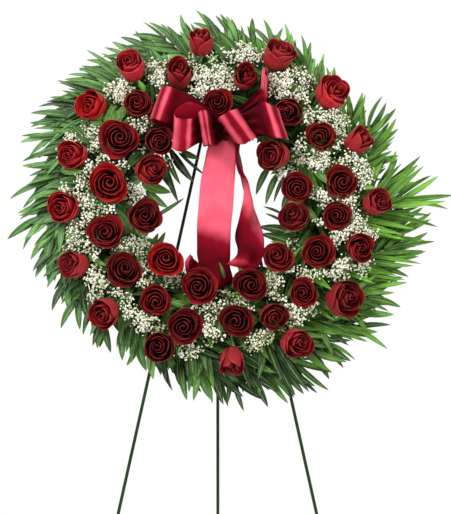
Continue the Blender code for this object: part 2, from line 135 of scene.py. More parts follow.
# Leaves between the flowers: root, tip, width and how light they are.
LIGHT_LEAVES = (
    ((-.147, .224), (-.150, .246), .011, .90), ((-.020, .286), (.002, .292), .008, .90),
    ((.034, .286), (-.008, .346), .026, .12), ((.040, .300), (.016, .350), .018, .22),
    ((.196, .074), (.212, .022), .020, .50), ((.176, -.010), (.196, -.060), .016, .36),
    ((.282, .036), (.302, .014), .018, .42), ((-.258, .142), (-.222, .168), .016, .45),
    ((-.312, .062), (-.272, .048), .014, .60), ((-.300, -.062), (-.294, -.082), .006, .80),
    ((-.256, -.108), (-.228, -.140), .012, .42), ((-.214, -.100), (-.180, -.114), .022, .22),
    ((-.044, -.222), (-.090, -.196), .018, .36), ((.014, -.158), (.009, -.128), .007, .20),
)
# Small feathery sprigs at the upper left: root, tip and pairs of leaflets.
FERN_SPRIGS = (
    ((-.212, .152, .096), (-.184, .186, .104), 12),
    ((-.222, .150, .094), (-.208, .188, .102), 11),
    ((-.224, .154, .092), (-.250, .158, .098), 9),
)
FERN_STALK, FERN_WIDTH = (0.0011, 0.0008, 0.0005), 0.0032
# Baby's breath stands this high over the tray at each distance from the ring's middle.
CROWN_RADII = (0.165, 0.20, 0.25, 0.30, 0.355)
CROWN_HEIGHTS = (0.070, 0.106, 0.116, 0.102, 0.066)
CROWN_DEPTH = 0.030                      # how far below that the lowest heads stand
CLUMP_HEIGHT = 0.105                     # the height at which the clumps' places hold
# A sprig's stem forks into twigs with a knee, and each of these into the florets' own stalks.
STEM_RADIUS, FORK_RADIUS, KNEE_RADIUS, TIP_RADIUS = 0.0008, 0.0006, 0.00045, 0.0003
KNEE_REACH, TIP_REACH = 0.007, (0.005, 0.013)
CLUMPED_SHARE, HEADS_PER_STRAY = 0.87, 7
# Clumps of baby's breath as seen from the front: centre, spread and how full they are.
BREATH_CLUMPS = (
    (-.205, .238, .022, 1.0), (-.192, .216, .020, .9), (-.225, .216, .011, .8),
    (-.126, .276, .024, .7), (-.124, .250, .020, .7), (-.150, .286, .010, .9),
    (-.060, .294, .014, .7), (-.036, .248, .020, .9), (-.010, .247, .022, 1.0),
    (-.042, .222, .014, .7), (-.015, .227, .014, .9), (-.262, .140, .016, 1.0),
    (-.246, .130, .018, 1.0), (-.270, .155, .010, .6), (-.244, .115, .012, .8),
    (-.300, .126, .014, 1.0), (-.315, .110, .012, .9), (-.320, .085, .010, .8),
    (-.244, .075, .014, .9), (-.220, .088, .012, .4), (-.205, .068, .012, .6),
    (-.270, .050, .012, .8), (-.276, .034, .010, .7), (-.300, .018, .014, .8),
    (-.276, .007, .016, .9), (-.258, -.006, .014, .9), (-.165, .150, .014, .8),
    (-.145, .150, .012, .8), (-.155, .116, .014, .2), (-.165, .021, .016, .7),
    (-.150, .012, .013, .7), (-.176, .004, .012, .7), (-.100, .072, .007, .6),
    (-.186, .075, .010, .4), (.015, .258, .022, 1.0), (.010, .238, .018, 1.0),
    (.030, .232, .013, .9), (.025, .310, .018, .9), (.050, .312, .020, 1.0),
    (.068, .304, .014, 1.0), (.045, .292, .013, .6), (.065, .321, .011, .8),
    (.110, .255, .012, .8), (.125, .240, .020, 1.0), (.146, .250, .020, .9),
    (.160, .235, .018, .8), (.120, .220, .014, .9), (.150, .212, .015, .8),
    (.175, .215, .013, .5), (.170, .268, .013, .6), (.186, .260, .014, .7),
    (.205, .170, .018, .9), (.186, .165, .013, .8), (.225, .178, .012, .7),
    (.240, .166, .016, .8), (.250, .186, .013, .6), (.260, .160, .012, .7),
    (.240, .141, .012, .6), (.172, .125, .010, .7), (.165, .101, .013, .8),
    (.160, .086, .012, .9), (.186, .090, .016, 1.0), (.205, .081, .018, 1.0),
    (.216, .095, .011, .9), (.180, .070, .013, .7), (.250, .116, .009, .6),
    (.256, .070, .011, .6), (.280, .081, .014, 1.0), (.290, .068, .014, 1.0),
    (.281, .046, .014, 1.0), (.300, .038, .015, .9), (.310, .050, .010, .8),
    (.115, .050, .011, .8), (.150, .060, .009, .7), (.196, .021, .010, .7),
    (.206, .005, .014, .8), (.220, -.006, .012, .7), (.276, .000, .012, .7),
    (.236, -.004, .009, .5), (.044, .202, .013, .25), (-.250, -.010, .015, .9),
    (-.236, -.022, .014, .8), (-.255, -.040, .012, .7), (-.216, -.020, .011, .7),
    (-.300, -.060, .017, .9), (-.280, -.055, .016, .7), (-.300, -.085, .013, .8),
    (-.280, -.085, .016, 1.0), (-.260, -.080, .014, .9), (-.250, -.096, .011, .8),
    (-.288, -.100, .010, .9), (-.250, -.114, .010, .6), (-.250, -.155, .014, .9),
    (-.263, -.165, .011, .9), (-.240, -.144, .011, .7), (-.245, -.180, .014, .8),
    (-.230, -.166, .013, .5), (-.226, -.186, .012, .7), (-.250, -.205, .013, .9),
    (-.236, -.212, .013, .9), (-.170, -.095, .016, 1.0), (-.150, -.090, .013, .9),
    (-.160, -.106, .013, 1.0), (-.141, -.081, .011, .9), (-.150, -.170, .012, .9),
    (-.136, -.165, .011, .8), (-.095, -.168, .012, .9), (-.080, -.173, .011, .9),
    (-.190, -.186, .012, .8), (-.180, -.202, .012, .8), (-.174, -.216, .011, .7),
    (-.170, -.235, .016, .9), (-.150, -.236, .016, .9), (-.160, -.256, .017, 1.0),
    (-.136, -.251, .014, 1.0), (-.146, -.270, .013, .9), (-.121, -.262, .010, .8),
    (-.060, -.136, .009, .7), (-.046, -.146, .008, .8), (-.025, -.225, .012, .8),
    (-.010, -.215, .010, .8), (-.015, -.245, .015, .9), (-.030, -.260, .010, .7),
    (-.010, -.270, .013, .9), (-.060, -.306, .013, .7), (-.070, -.319, .013, .7),
    (-.050, -.320, .013, .6), (-.012, -.310, .009, .4), (.206, -.052, .008, .8),
    (.260, -.010, .013, .9), (.271, -.038, .012, .8), (.290, -.046, .015, .9),
    (.276, -.061, .015, .9), (.251, -.066, .013, .8), (.302, -.062, .013, .8),
    (.325, -.060, .009, .7), (.316, -.080, .010, .7), (.262, -.084, .010, .7),
    (.236, -.086, .010, .7), (.240, -.130, .014, .7), (.256, -.125, .013, .7),
    (.230, -.145, .013, .9), (.250, -.150, .015, .9), (.216, -.150, .010, .9),
    (.266, -.145, .012, .9), (.290, -.155, .011, .8), (.305, -.131, .013, 1.0),
    (.300, -.146, .012, .8), (.105, -.155, .009, .8), (.121, -.161, .011, .6),
    (.150, -.155, .009, .7), (.170, -.151, .013, 1.0), (.186, -.155, .010, .9),
    (.116, -.180, .011, .7), (.106, -.196, .010, .7), (.125, -.200, .010, .5),
    (.014, -.201, .010, 1.0), (.005, -.216, .009, .7), (.066, -.210, .009, .6),
    (.150, -.236, .014, .9), (.166, -.241, .015, 1.0), (.180, -.235, .013, .9),
    (.160, -.256, .013, .8), (.186, -.225, .010, .7), (.240, -.247, .008, .7),
    (.080, -.291, .015, .6), (.066, -.296, .011, .6), (.095, -.285, .011, .6),
    (.076, -.306, .013, .6), (.090, -.315, .010, .6), (.084, -.270, .011, .5),
    (.150, -.085, .007, .7),
)

# Clock angles from which each spray starts and at which it ends.
PALM_SPRAYS = {
    "palm_fronds_upper": (304, 65),
    "palm_fronds_lower_right": (65, 180),
    "palm_fronds_lower_left": (180, 304),
}

# Ribbon shapes in the leaning frame. Each row is one line across the ribbon: its two edges and
# the painted light and shade of the satin there, from 0 for painted shade in a fold to 1 for a
# painted highlight where its floats face the light.
KNOT = (.010, .138, .118)
LOOPS = {
    "left_high": (
        ((-.050, .200, .100), (-.072, .140, .100), .20),
        ((-.098, .214, .108), (-.120, .149, .108), .30),
        ((-.113, .224, .124), (-.134, .157, .124), .85),
        ((-.104, .223, .140), (-.126, .155, .140), .50),
        ((-.094, .218, .149), (-.118, .150, .149), .86),
        ((-.083, .213, .152), (-.107, .145, .152), .16),
        ((-.060, .205, .146), (-.084, .141, .146), (.20, .02)),
        ((-.041, .197, .138), (-.062, .137, .138), (.14, .02)),
    ),
    "left_low": (
        ((-.018, .172, .140), (-.018, .118, .118), (.20, .0)),
        ((-.034, .180, .148), (-.040, .124, .124), (.46, .0)),
        ((-.055, .186, .153), (-.062, .124, .130), (.56, .0)),
        ((-.073, .178, .156), (-.080, .112, .136), (.50, .0)),
        ((-.085, .164, .160), (-.089, .096, .148), .46),
        ((-.083, .151, .168), (-.087, .088, .162), .86),
        ((-.074, .146, .176), (-.078, .080, .172), .62),
        ((-.064, .144, .179), (-.067, .0785, .176), .42),
        ((-.054, .145, .178), (-.057, .084, .175), .80),
        ((-.046, .147, .172), (-.047, .092, .166), .18),
        ((-.036, .158, .160), (-.032, .104, .150), .04),
        ((-.022, .166, .150), (-.014, .112, .134), .04),
    ),
    "middle_left": (
        ((-.030, .152, .140), (-.020, .100, .135), .06),
        ((-.039, .158, .168), (-.027, .091, .168), .42),
        ((-.034, .160, .181), (-.021, .090, .181), .84),
        ((-.029, .160, .186), (-.017, .090, .186), .48),
        ((-.024, .160, .184), (-.013, .091, .184), .84),
        ((-.019, .158, .174), (-.009, .091, .174), .45),
        ((-.008, .150, .145), (.000, .100, .140), .05),
    ),
    "middle_right": (
        ((.006, .152, .138), (.022, .112, .128), .04),
        ((.000, .147, .164), (.035, .105, .148), .44),
        ((.007, .151, .176), (.046, .095, .170), .84),
        ((.014, .154, .182), (.055, .093, .180), .52),
        ((.020, .157, .186), (.062, .097, .185), .36),
        ((.028, .160, .184), (.070, .102, .182), .84),
        ((.040, .167, .170), (.077, .110, .168), .36),
        ((.030, .162, .138), (.052, .112, .132), .04),
    ),
    "right_low": (
        ((.070, .184, .104), (.088, .128, .104), .04),
        ((.112, .187, .112), (.131, .122, .112), .08),
        ((.122, .178, .132), (.141, .113, .132), .84),
        ((.111, .179, .149), (.132, .111, .149), .44),
        ((.099, .183, .155), (.120, .112, .155), .90),
        ((.087, .186, .151), (.107, .113, .151), .10),
        ((.057, .170, .140), (.077, .122, .140), .0),
    ),
    "right_high": (
        ((.057, .190, .135), (.060, .154, .130), .04),
        ((.071, .204, .142), (.088, .168, .128), (.10, .16)),
        ((.083, .213, .150), (.099, .194, .118), (.24, .60)),
        ((.086, .220, .158), (.1015, .226, .106), .82),
        ((.088, .240, .158), (.1015, .251, .106), .92),
        ((.092, .256, .150), (.100, .266, .100), .84),
        ((.094, .250, .128), (.099, .256, .092), .30),
        ((.088, .205, .112), (.096, .200, .082), .06),
    ),
}
TAILS = {
    "left": (
        ((-.010, .150, .118), (.030, .150, .118), .30),
        ((-.016, .116, .114), (.036, .116, .114), (.55, .85)),
        ((-.021, .098, .110), (.0365, .098, .110), (.80, 1.0)),
        ((-.027, .070, .104), (.0365, .070, .104), 1.0),
        ((-.034, .033, .097), (.034, .033, .097), (1.0, .98)),
        ((-.038, -.015, .088), (.031, -.015, .088), (1.0, .92)),
        ((-.0400, -.036, .082), (.0285, -.036, .082), (.92, .90)),
        ((-.0408, -.052, .079), (.0270, -.052, .080), (.82, .94)),
        ((-.0410, -.066, .075), (.0264, -.066, .077), (.58, .84)),
        ((-.0409, -.079, .072), (.0261, -.079, .074), (.40, .66)),
        ((-.0408, -.092, .070), (.0259, -.092, .072), (.26, .48)),
        ((-.0405, -.108, .068), (.0257, -.108, .070), (.16, .28)),
        ((-.035, -.130, .066), (.0252, -.130, .068), (.09, .12)),
        ((-.024, -.152, .068), (.030, -.156, .068), (.08, .10)),
        ((-.030, -.167, .066), (.014, -.177, .064), .14),
        ((-.046, -.165, .070), (-.014, -.187, .060), .16),
        ((-.063, -.147, .080), (-.037, -.168, .064), (.40, .14)),
        ((-.067, -.124, .090), (-.041, -.142, .070), (.80, .12)),
        ((-.057, -.108, .094), (-.035, -.126, .074), (.62, .08)),
    ),
    "right": (
        ((.030, .140, .122), (.034, .150, .106), .20),
        ((.036, .108, .130), (.0445, .112, .080), (.30, .20)),
        ((.0365, .072, .126), (.0510, .080, .072), (.32, .20)),
        ((.0430, .054, .118), (.0570, .052, .068), (.40, .26)),
        ((.0525, .038, .112), (.0640, .036, .062), (.62, .70)),
        ((.0560, .020, .108), (.0700, .016, .058), (.92, .92)),
        ((.0560, -.004, .104), (.0770, -.006, .060), (.84, 1.0)),
        ((.0500, -.024, .098), (.0840, -.028, .062), (.52, 1.0)),
        ((.0420, -.046, .094), (.0895, -.052, .066), (.22, .96)),
        ((.0360, -.064, .090), (.0930, -.072, .069), (.06, .80)),
        ((.0350, -.080, .086), (.0935, -.088, .071), (.02, .58)),
        ((.0400, -.096, .085), (.0920, -.104, .073), (.04, .42)),
        ((.0390, -.110, .090), (.0880, -.120, .078), (.26, .38)),
        ((.0290, -.122, .096), (.0820, -.132, .082), (.70, .44)),
        ((.0160, -.132, .098), (.0660, -.142, .084), (.50, .40)),
    ),
}


# ---- colours, nodes and meshes ----

def linear(code):
    """An sRGB hex colour as linear red, green and blue."""
    values = [int(code[i:i + 2], 16) / 255 for i in (1, 3, 5)]
    return [v / 12.92 if v <= 0.04045 else ((v + 0.055) / 1.055) ** 2.4 for v in values]


def add_node(tree, kind, settings=None, inputs=None):
    """A node with its settings, and its inputs set or linked."""
    node = tree.nodes.new(kind)
    for name, value in (settings or {}).items():
        setattr(node, name, value)
    for key, value in (inputs or {}).items():
        if isinstance(value, bpy.types.NodeSocket):
            tree.links.new(value, node.inputs[key])
        else:
            node.inputs[key].default_value = value
    return node


def new_material(name, shader_inputs):
    """A material with one Principled shader, its constants set on the shader's own sockets."""
    material = bpy.data.materials.new(name)
    material.use_nodes = True
    tree = material.node_tree
    shader = tree.nodes["Principled BSDF"]
    for key, value in shader_inputs.items():
        shader.inputs[key].default_value = value
    return material, tree, shader


def new_object(name, data):
    """An object at the origin that holds the data, in the scene."""
    obj = bpy.data.objects.new(name, data)
    bpy.context.scene.collection.objects.link(obj)
    return obj


def add_layer(mesh, title, values):
    """Gives each point of a mesh a number that materials and node trees can read."""
    layer = mesh.attributes.new(title, "FLOAT", "POINT")
    layer.data.foreach_set("value", np.asarray(values, np.float32))


def add_uv(mesh, title, uv):
    """Gives a mesh a UV map from one pair of numbers for each point."""
    corners = np.empty(len(mesh.loops), np.int32)
    mesh.loops.foreach_get("vertex_index", corners)
    uv_map = mesh.uv_layers.new(name=title)
    uv_map.data.foreach_set("uv", np.asarray(uv, np.float32)[corners].ravel())


def new_piece(name, points, faces, materials, face_material, layers, uv):
    """An object at the origin with a smooth mesh, its point attributes and its UV map."""
    mesh = bpy.data.meshes.new(name)
    mesh.from_pydata([tuple(p) for p in points], [], faces)
    for material in materials:
        mesh.materials.append(material)
    if face_material is not None:
        mesh.polygons.foreach_set("material_index", np.asarray(face_material, np.int32))
    for title, values in layers.items():
        add_layer(mesh, title, values)
    add_uv(mesh, "cloth", uv)
    mesh.polygons.foreach_set("use_smooth", np.ones(len(mesh.polygons), bool))
    mesh.update()
    return new_object(name, mesh)


def node_points(name):
    """The separate corners of a CAD node's mesh."""
    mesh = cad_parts[name].data
    points = np.empty(len(mesh.vertices) * 3)
    mesh.vertices.foreach_get("co", points)
    return np.unique(points.reshape(-1, 3).round(6), axis=0)


def wreath_matrix():
    """The leaning wreath's frame: X right, Y up the slope, Z out of the flowers."""
    points = node_points("ring_tray")
    middle = points.mean(axis=0)
    out = np.linalg.svd(points - middle)[2][2]
    out = out if out[1] < 0 else -out
    back = ((points - middle) @ out).min()
    origin = middle + out * (back - TRAY_BACK)
    x_way = np.array((1.0, 0.0, 0.0))
    y_way = np.cross(out, x_way)
    matrix = Matrix.Identity(4)
    for row in range(3):
        matrix[row][:] = (x_way[row], y_way[row], out[row], origin[row])
    return matrix


WREATH = wreath_matrix()


def to_world(points):
    """Points of the leaning frame, in the row frame."""
    turn = np.array(WREATH)
    return np.asarray(points) @ turn[:3, :3].T + turn[:3, 3]


def to_leaning(points):
    """Points of the row frame, in the leaning frame."""
    turn = np.array(WREATH.inverted())
    return np.asarray(points) @ turn[:3, :3].T + turn[:3, 3]


def ring_ways(clock):
    """Outward and clockwise directions in the leaning frame at a clock angle."""
    angle = math.radians(clock)
    outward = np.array((math.sin(angle), math.cos(angle), 0.0))
    return outward, np.array((math.cos(angle), -math.sin(angle), 0.0))


def ease(low, high, value):
    """0 below low, 1 above high, and smooth between them."""
    t = np.clip((value - low) / (high - low), 0, 1)
    return t * t * (3 - 2 * t)


# ---- roses ----

def shell(inner, outward, thickness):
    """A closed thin wall on a grid of points: its corners, faces and which corners lie outside."""
    rows, columns = inner.shape[:2]
    outer = inner + outward * thickness
    points = np.concatenate([inner.reshape(-1, 3), outer.reshape(-1, 3)])
    index = np.arange(rows * columns).reshape(rows, columns)
    a, b = index[:-1, :-1].ravel(), index[:-1, 1:].ravel()
    c, d = index[1:, 1:].ravel(), index[1:, :-1].ravel()
    shift = rows * columns
    faces = [np.stack([a, d, c, b], 1), np.stack([a, b, c, d], 1) + shift]
    rim = np.concatenate([index[0, :-1], index[:-1, -1], index[-1, :0:-1], index[:0:-1, 0]])
    following = np.roll(rim, -1)
    faces.append(np.stack([rim, following, following + shift, rim + shift], 1))
    return points, np.concatenate(faces), np.repeat([0.0, 1.0], shift)


def grid_normals(grid):
    """Unit normals of a grid of points, on the side that down the rows and across gives."""
    down = np.gradient(grid, axis=0)
    across = np.gradient(grid, axis=1)
    normal = np.cross(across, down)
    return normal / np.maximum(np.linalg.norm(normal, axis=2, keepdims=True), 1e-12)


def petal(bloom, share, turn, rng):
    """One petal as a grid of points about the bloom's axis; share is 0 at the heart, 1 outside."""
    height, openness, habit = bloom["height"], bloom["openness"], bloom["habit"]
    radius = bloom["width"] / 2
    rows, columns = (11, 15) if share > 0.4 else (9, 13)
    v = np.linspace(0, 1, rows)[:, None] ** 0.75
    u = np.linspace(-1, 1, columns)[None, :]

    half_span = 1.50 - 0.70 * share if share < 0.5 else 1.15 + 0.10 * (share - 0.5)
    half_span += 0.7 * math.exp(-share / 0.04)
    spiral = 0.05 + 0.22 * (1 - share) ** 2
    curl = openness * float(ease(0.40, 1.0, share))
    rim_open = 0.04 + (0.83 + 0.10 * openness) * share ** (1.15 - 0.15 * openness)
    loose = 0.045 + 0.035 * (share < 0.6)
    rim = rim_open * radius * (1 + rng.uniform(-loose, loose)) * (1 - 0.26 * curl)
    belly = (0.14 + 0.80 * share ** 0.80) * radius * (1 - 0.16 * curl)
    top = (0.48 - (0.03 + 0.20 * openness) * share ** 1.5) * height
    top += rng.uniform(-0.03, 0.03) * height
    foot = BLOOM_FOOT * height
    # The heart is a dome of petals that lean inwards, each hugged by the next one's rim.
    dome = min(1.0, 1.6 * openness) * (1 - float(ease(0.34, 0.58, share)))
    top -= 0.45 * rim * dome

    # The outline is an arch: high in the middle, diving between its neighbours at the sides.
    w = v * (1 - (0.30 + 0.08 * share) * np.abs(u) ** 2.6)
    p0 = np.array((0.10 * radius, foot))
    p1 = np.array((1.22 * belly, foot + 0.06 * height))
    p2 = np.array((1.10 * belly, 0.02 * height + 0.12 * height * (1 - openness)))
    p2 += (np.array((rim + 0.16 * radius, top - 0.17 * radius)) - p2) * dome
    p3 = np.array((rim, top))
    k0, k1, k2, k3 = (1 - w) ** 3, 3 * w * (1 - w) ** 2, 3 * w * w * (1 - w), w ** 3
    r = k0 * p0[0] + k1 * p1[0] + k2 * p2[0] + k3 * p3[0]
    z = k0 * p0[1] + k1 * p1[1] + k2 * p2[1] + k3 * p3[1]

    # The rim rolls outwards, most at the petal's middle, where it comes to a blunt corner.
    roll = ease(0.70 - 0.14 * curl, 1.0, v)
    lip = (0.03 + 0.035 * dome + (0.04 + 0.06 * openness) * share + 0.15 * curl) * radius
    side_roll = 1 - (0.75 - 0.30 * curl) * u ** 2
    r = r + lip * side_roll * roll ** 1.3
    z = z - (0.8 - 0.3 * curl) * lip * side_roll * roll ** 3
    corner = (0.12 - 0.06 * share) * np.exp(-(u / 0.30) ** 2) * roll
    sway = rng.uniform(0, 6.28)
    r = r * (1 + corner) + 0.024 * radius * np.sin(2.4 * u + sway) * roll * (0.5 + share)
    z = z + 0.016 * height * np.sin(1.9 * u + 1.7 * sway) * roll
    r = r * (1 + spiral * u * (0.35 + 0.65 * v)) * (1 - 0.20 * share * np.abs(u) ** 4)

    angle = turn + half_span * u + 0.05 * rng.uniform(-1, 1) * v
    r = r * (1 + 0.035 * np.cos(2 * angle + habit[0]) + 0.025 * np.cos(3 * angle + habit[1]))
    aside = (1 - share) * 0.16 * radius * v
    grid = np.stack([r * np.cos(angle) + aside * math.cos(habit[2]),
                     r * np.sin(angle) + aside * math.sin(habit[2]), z + 0 * angle], axis=2)
    normal = grid_normals(grid)
    away = np.stack([np.cos(angle), np.sin(angle), 0 * angle], axis=2)
    flip = np.sign((normal * away).sum(axis=2).mean())
    return grid, normal * flip, v + 0 * u, u + 0 * v


def petal_shares(count, openness):
    """How far out each petal sits: a bud's evenly, an open bloom's in a heart and two rings."""
    middle, outer = 4, 5
    even = np.linspace(0, 1, count)
    rings = np.concatenate([np.linspace(0, 0.42, count - middle - outer),
                            np.linspace(0.54, 0.66, middle), np.linspace(0.86, 1.0, outer)])
    share = min(1.0, 1.6 * openness)
    return even * (1 - share) + rings * share


def leafy_blade(root, aim, up, length, width, cup, curve, rows=6):
    """A pointed, cupped blade that curves away from its aim, as a grid and its normals."""
    v = np.linspace(0, 1, rows)[:, None]
    u = np.linspace(-1, 1, 5)[None, :]
    aim, up = np.array(aim) / np.linalg.norm(aim), np.array(up)
    side = np.cross(aim, up)
    side = side / np.linalg.norm(side)
    up = np.cross(side, aim)
    half = width / 2 * (v + 0.25) ** 0.35 * (1 - v) ** 0.8 + 0.0003
    forward = v * length
    lift = -curve * length * v ** 2 + cup * width * np.abs(u) ** 2 * (1 - v)
    grid = (np.array(root) + forward[..., None] * aim + (u * half)[..., None] * side
            + (lift + 0 * u)[..., None] * up)
    return grid, grid_normals(grid)


def tube(path, radii, sides=8):
    """A capped tube along a path, as points and faces."""
    path = np.asarray(path)
    ways = np.gradient(path, axis=0)
    ways /= np.linalg.norm(ways, axis=1, keepdims=True)
    helper = np.array((0.3, 0.8, 0.52)) if abs(ways[0][0]) > 0.8 else np.array((1.0, 0.1, 0.0))
    first = np.cross(ways, helper)
    first /= np.linalg.norm(first, axis=1, keepdims=True)
    second = np.cross(ways, first)
    angles = np.linspace(0, 2 * math.pi, sides, endpoint=False)
    ring = (np.cos(angles)[None, :, None] * first[:, None, :]
            + np.sin(angles)[None, :, None] * second[:, None, :])
    points = path[:, None, :] + ring * np.asarray(radii)[:, None, None]
    count = len(path)
    faces = []
    for i in range(count - 1):
        for j in range(sides):
            k = (j + 1) % sides
            faces.append((i * sides + j, i * sides + k, (i + 1) * sides + k, (i + 1) * sides + j))
    faces.append(tuple(range(sides))[::-1])
    faces.append(tuple((count - 1) * sides + j for j in range(sides)))
    return points.reshape(-1, 3), faces


def measure_rose(name):
    """Place, axis and sizes of a rose, read from its turned solid."""
    points = node_points(name)
    middle = points.mean(axis=0)
    spread, ways = np.linalg.eigh(np.cov((points - middle).T))
    axis = ways[:, 2] if spread[2] - spread[1] > spread[1] - spread[0] else ways[:, 0]
    along = (points - middle) @ axis
    across = np.linalg.norm(points - middle - along[:, None] * axis, axis=1)
    if along[across.argmax()] < (along.min() + along.max()) / 2:
        axis, along = -axis, -along
    widest = along[across.argmax()]
    height = (along.max() - widest) / (BLOOM_TOP - BLOOM_WIDEST)
    width = 2 * across.max()
    centre = middle + axis * (widest - BLOOM_WIDEST * height)
    ratio = height / width
    right, up = FACING.get(int(name.rsplit("_", 1)[1]), (0, 0))
    return {
        "name": name,
        "centre": centre,
        "axis": axis,
        "facing": np.array((right, -math.sqrt(1 - right * right - up * up), up)),
        "width": width,
        "height": height,
        "stem": -(along.min() - widest + BLOOM_WIDEST * height),
        "openness": min(max((BUD_RATIO - ratio) / (BUD_RATIO - OPEN_RATIO), 0.0), 1.0),
    }


def rose_names():
    """The names of the rose nodes, in order."""
    return sorted(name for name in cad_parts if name.startswith("rose_"))


def rose_piece(bloom, settings, materials, seed):
    """A whole rose: its petals, sepals and stem, replacing the turned solid."""
    rng = np.random.default_rng(seed)
    points, faces, kinds = [], [], []
    layers = {"rise": [], "back": [], "layer": [], "bright": [], "depth": []}
    uv = []
    total = 0
    number = int(bloom["name"].rsplit("_", 1)[1])
    usual = rng.uniform(0.0, 0.28)
    bright = 1.0 if number in SCARLET_ROSES else usual
    depth = USUAL_VALUE
    if number in DEEP_ROSES:
        depth = DEEP_VALUE
    elif number in LIGHT_ROSES:
        depth = LIGHT_VALUE

    def add(these, those, kind, rise, back, share, flat):
        nonlocal total
        points.append(these)
        faces.extend([tuple(int(i) + total for i in face) for face in those])
        kinds.extend([kind] * len(those))
        total += len(these)
        layers["rise"].append(rise)
        layers["back"].append(back)
        layers["layer"].append(np.full(len(these), share))
        layers["bright"].append(np.full(len(these), bright))
        layers["depth"].append(np.full(len(these), depth))
        uv.append(flat)

    start = rng.uniform(0, 2 * math.pi)
    bloom["habit"] = rng.uniform(0, 2 * math.pi, 3)
    count = settings.petals - (5 if bloom["openness"] < 0.3 else 0)
    for k, share in enumerate(petal_shares(count, bloom["openness"])):
        turn = start + k * GOLDEN_ANGLE + rng.uniform(-0.45, 0.45)
        grid, outward, v, u = petal(bloom, share, turn, rng)
        these, those, back = shell(grid, outward, settings.petal_thickness)
        flat = np.stack([u.ravel() * bloom["width"] / 3, v.ravel() * bloom["height"]], 1)
        rise = np.tile(v.ravel(), 2)
        add(these, those, 0, rise, back, share, np.tile(flat, (2, 1)))

    foot = BLOOM_FOOT * bloom["height"]
    for k in range(SEPALS):
        angle = start + k * 2 * math.pi / SEPALS
        out = np.array((math.cos(angle), math.sin(angle), 0))
        root = out * 0.0042 + np.array((0, 0, foot - 0.001))
        aim = out * rng.uniform(0.5, 1.0) + np.array((0, 0, rng.uniform(0.1, 1.0)))
        grid, outward = leafy_blade(root, aim, -out + np.array((0, 0, 1.0)),
                                    rng.uniform(0.75, 1.0) * SEPAL_LENGTH, SEPAL_WIDTH, 0.2,
                                    rng.uniform(0.1, 0.55))
        these, those, back = shell(grid, outward, SEPAL_THICKNESS)
        add(these, those, 1, back * 0, back, 1.0, np.zeros((len(these), 2)))

    facing = Vector(bloom["facing"])
    turn = np.array(Vector((0, 0, 1)).rotation_difference(facing).to_matrix())
    placed = [these @ turn.T + bloom["centre"] for these in points]

    # The stem leaves the bloom's foot along its own axis and bends into the foam.
    neck = np.array(bloom["centre"]) + turn @ np.array((0, 0, foot))
    root = np.array(bloom["centre"]) - np.array(bloom["axis"]) * bloom["stem"]
    reach = np.linalg.norm(neck - root)
    bends = np.array([neck, neck - np.array(facing) * reach * 0.38,
                      root + np.array(bloom["axis"]) * reach * 0.38, root])
    path = [neck + np.array(facing) * away for away, _ in CALYX]
    radii = [thick for _, thick in CALYX]
    for t in np.linspace(0, 1, 9)[2:]:
        weights = ((1 - t) ** 3, 3 * t * (1 - t) ** 2, 3 * t * t * (1 - t), t ** 3)
        path.append(sum(w * p for w, p in zip(weights, bends)))
        radii.append(ROSE_STEM_RADIUS)
    these, those = tube(path, radii)
    add(these, those, 1, np.zeros(len(these)), np.zeros(len(these)), 1.0,
        np.zeros((len(these), 2)))
    placed.append(these)

    obj = new_piece(bloom["name"] + "_bloom", np.concatenate(placed), faces, materials, kinds,
                    {k: np.concatenate(v) for k, v in layers.items()}, np.concatenate(uv))
    outward_faces(obj)
    return obj


def outward_faces(obj):
    """Turns each closed wall's faces outwards."""
    work = bmesh.new()
    work.from_mesh(obj.data)
    bmesh.ops.recalc_face_normals(work, faces=work.faces)
    work.to_mesh(obj.data)
    work.free()


